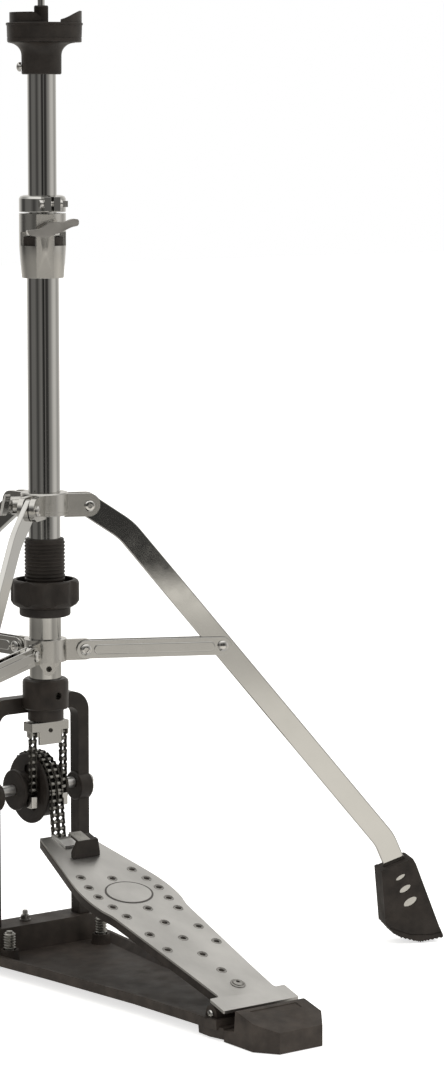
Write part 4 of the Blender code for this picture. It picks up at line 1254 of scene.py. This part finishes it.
def surroundings():
    """Soft panels with dark gaps all round for banded reflections, and plain white for the camera."""
    world = bpy.data.worlds.new("studio")
    bpy.context.scene.world = world
    world.use_nodes = True
    tree = world.node_tree
    tree.nodes.clear()
    place = node(tree, "TexCoord").outputs["Generated"]
    x, y, height = node(tree, "SeparateXYZ", {0: place}).outputs
    angle = node(tree, "Math", {0: x, 1: y}, operation="ARCTAN2").outputs[0]
    round_share = share_of(tree, angle, -pi, pi)
    upper = band_ramp(tree, round_share, UPPER_PANELS)
    lower = band_ramp(tree, round_share, LOWER_PANELS)
    shaded = mix(tree, 1, lower, height_ramp(tree, height, SHADE_BY_HEIGHT), "MULTIPLY")
    sides = mix(tree, share_of(tree, height, -0.1375, -0.134), shaded, upper)
    grounded = mix(tree, share_of(tree, height, -0.75, -0.4), (*warm(0.5), 1), sides)
    overhead = height_ramp(tree, height, OVERHEAD)
    colors = mix(tree, share_of(tree, height, 0.3, 0.55), grounded, overhead)
    banded = node(tree, "Background", {"Color": colors}).outputs[0]
    white = node(tree, "Background", {"Color": (1, 1, 1, 1)}).outputs[0]
    seen = node(tree, "LightPath").outputs["Is Camera Ray"]
    choose = node(tree, "MixShader", {0: seen, 1: banded, 2: white})
    node(tree, "OutputWorld", {"Surface": choose.outputs[0]})


def white_floor():
    """Square floor just under the feet, glowing a little so that it shows white."""
    half = 12000
    mesh = bmesh.new()
    corners = ((-half, -half), (half, -half), (half, half), (-half, half))
    mesh.faces.new([mesh.verts.new((x, y, -0.5)) for x, y in corners])
    floor = to_object(mesh)
    floor.name = "floor"
    surface = Surface("floor_white", (0.9, 0.9, 0.89), 0.9, 0.0)
    glow = node(surface.tree, "Emission", {"Strength": 0.66})
    adder = node(surface.tree, "AddShader", {0: surface.shader.outputs[0], 1: glow.outputs[0]})
    surface.link(adder.outputs[0], surface.tree.nodes["Material Output"].inputs["Surface"])
    floor.data.materials.append(surface.material)
    floor.visible_glossy = False


def lamps():
    """Two soft lamps aimed at the middle of the stand, as place, power and width."""
    key = ((1.9, -2.6, 2.6), 45, 1.6)
    fill = ((-2.9, -0.9, 1.7), 16, 1.4)
    for name, (place, power, width) in (("key", key), ("fill", fill)):
        lamp = bpy.data.lights.new(name, "AREA")
        lamp.energy = power
        lamp.size = width
        item = linked(name, lamp)
        item.location = place
        item.rotation_euler = (Vector((0, 0, 0.4)) - Vector(place)).to_track_quat("-Z", "Y").to_euler()
        item.visible_glossy = False


# Direction of the camera from the stand, from +Y towards +X.
VIEW_TURN = radians(-146.171)


def camera():
    """Long lens at the height of the upper tube, to the left of the heel and aimed a little down."""
    lens = bpy.data.cameras.new("view")
    lens.sensor_fit = "VERTICAL"
    lens.sensor_height = 36
    lens.lens = 113.2
    item = linked("view", lens)
    azimuth, distance, height = radians(33.8), 3.027, 0.7647
    yaw, pitch = 0.0526, 0.1246
    item.location = (-distance * sin(azimuth), -distance * cos(azimuth), height)
    forward = Vector((sin(azimuth + yaw) * cos(pitch), cos(azimuth + yaw) * cos(pitch), -sin(pitch)))
    item.rotation_euler = forward.to_track_quat("-Z", "Y").to_euler()
    bpy.context.scene.camera = item
    bpy.context.scene.view_settings.view_transform = "Standard"


tubes()
clamp()
wing_bolts()
lock()
seat()
adjuster()
top_collar()
lower_collar()
legs()
braces()
pedal_frame()
base_plate()
base_fittings()
footboard()
wheels()
hanging_chains()
yoke()
return_spring()
hidden_pieces()
surroundings()
white_floor()
lamps()
camera()
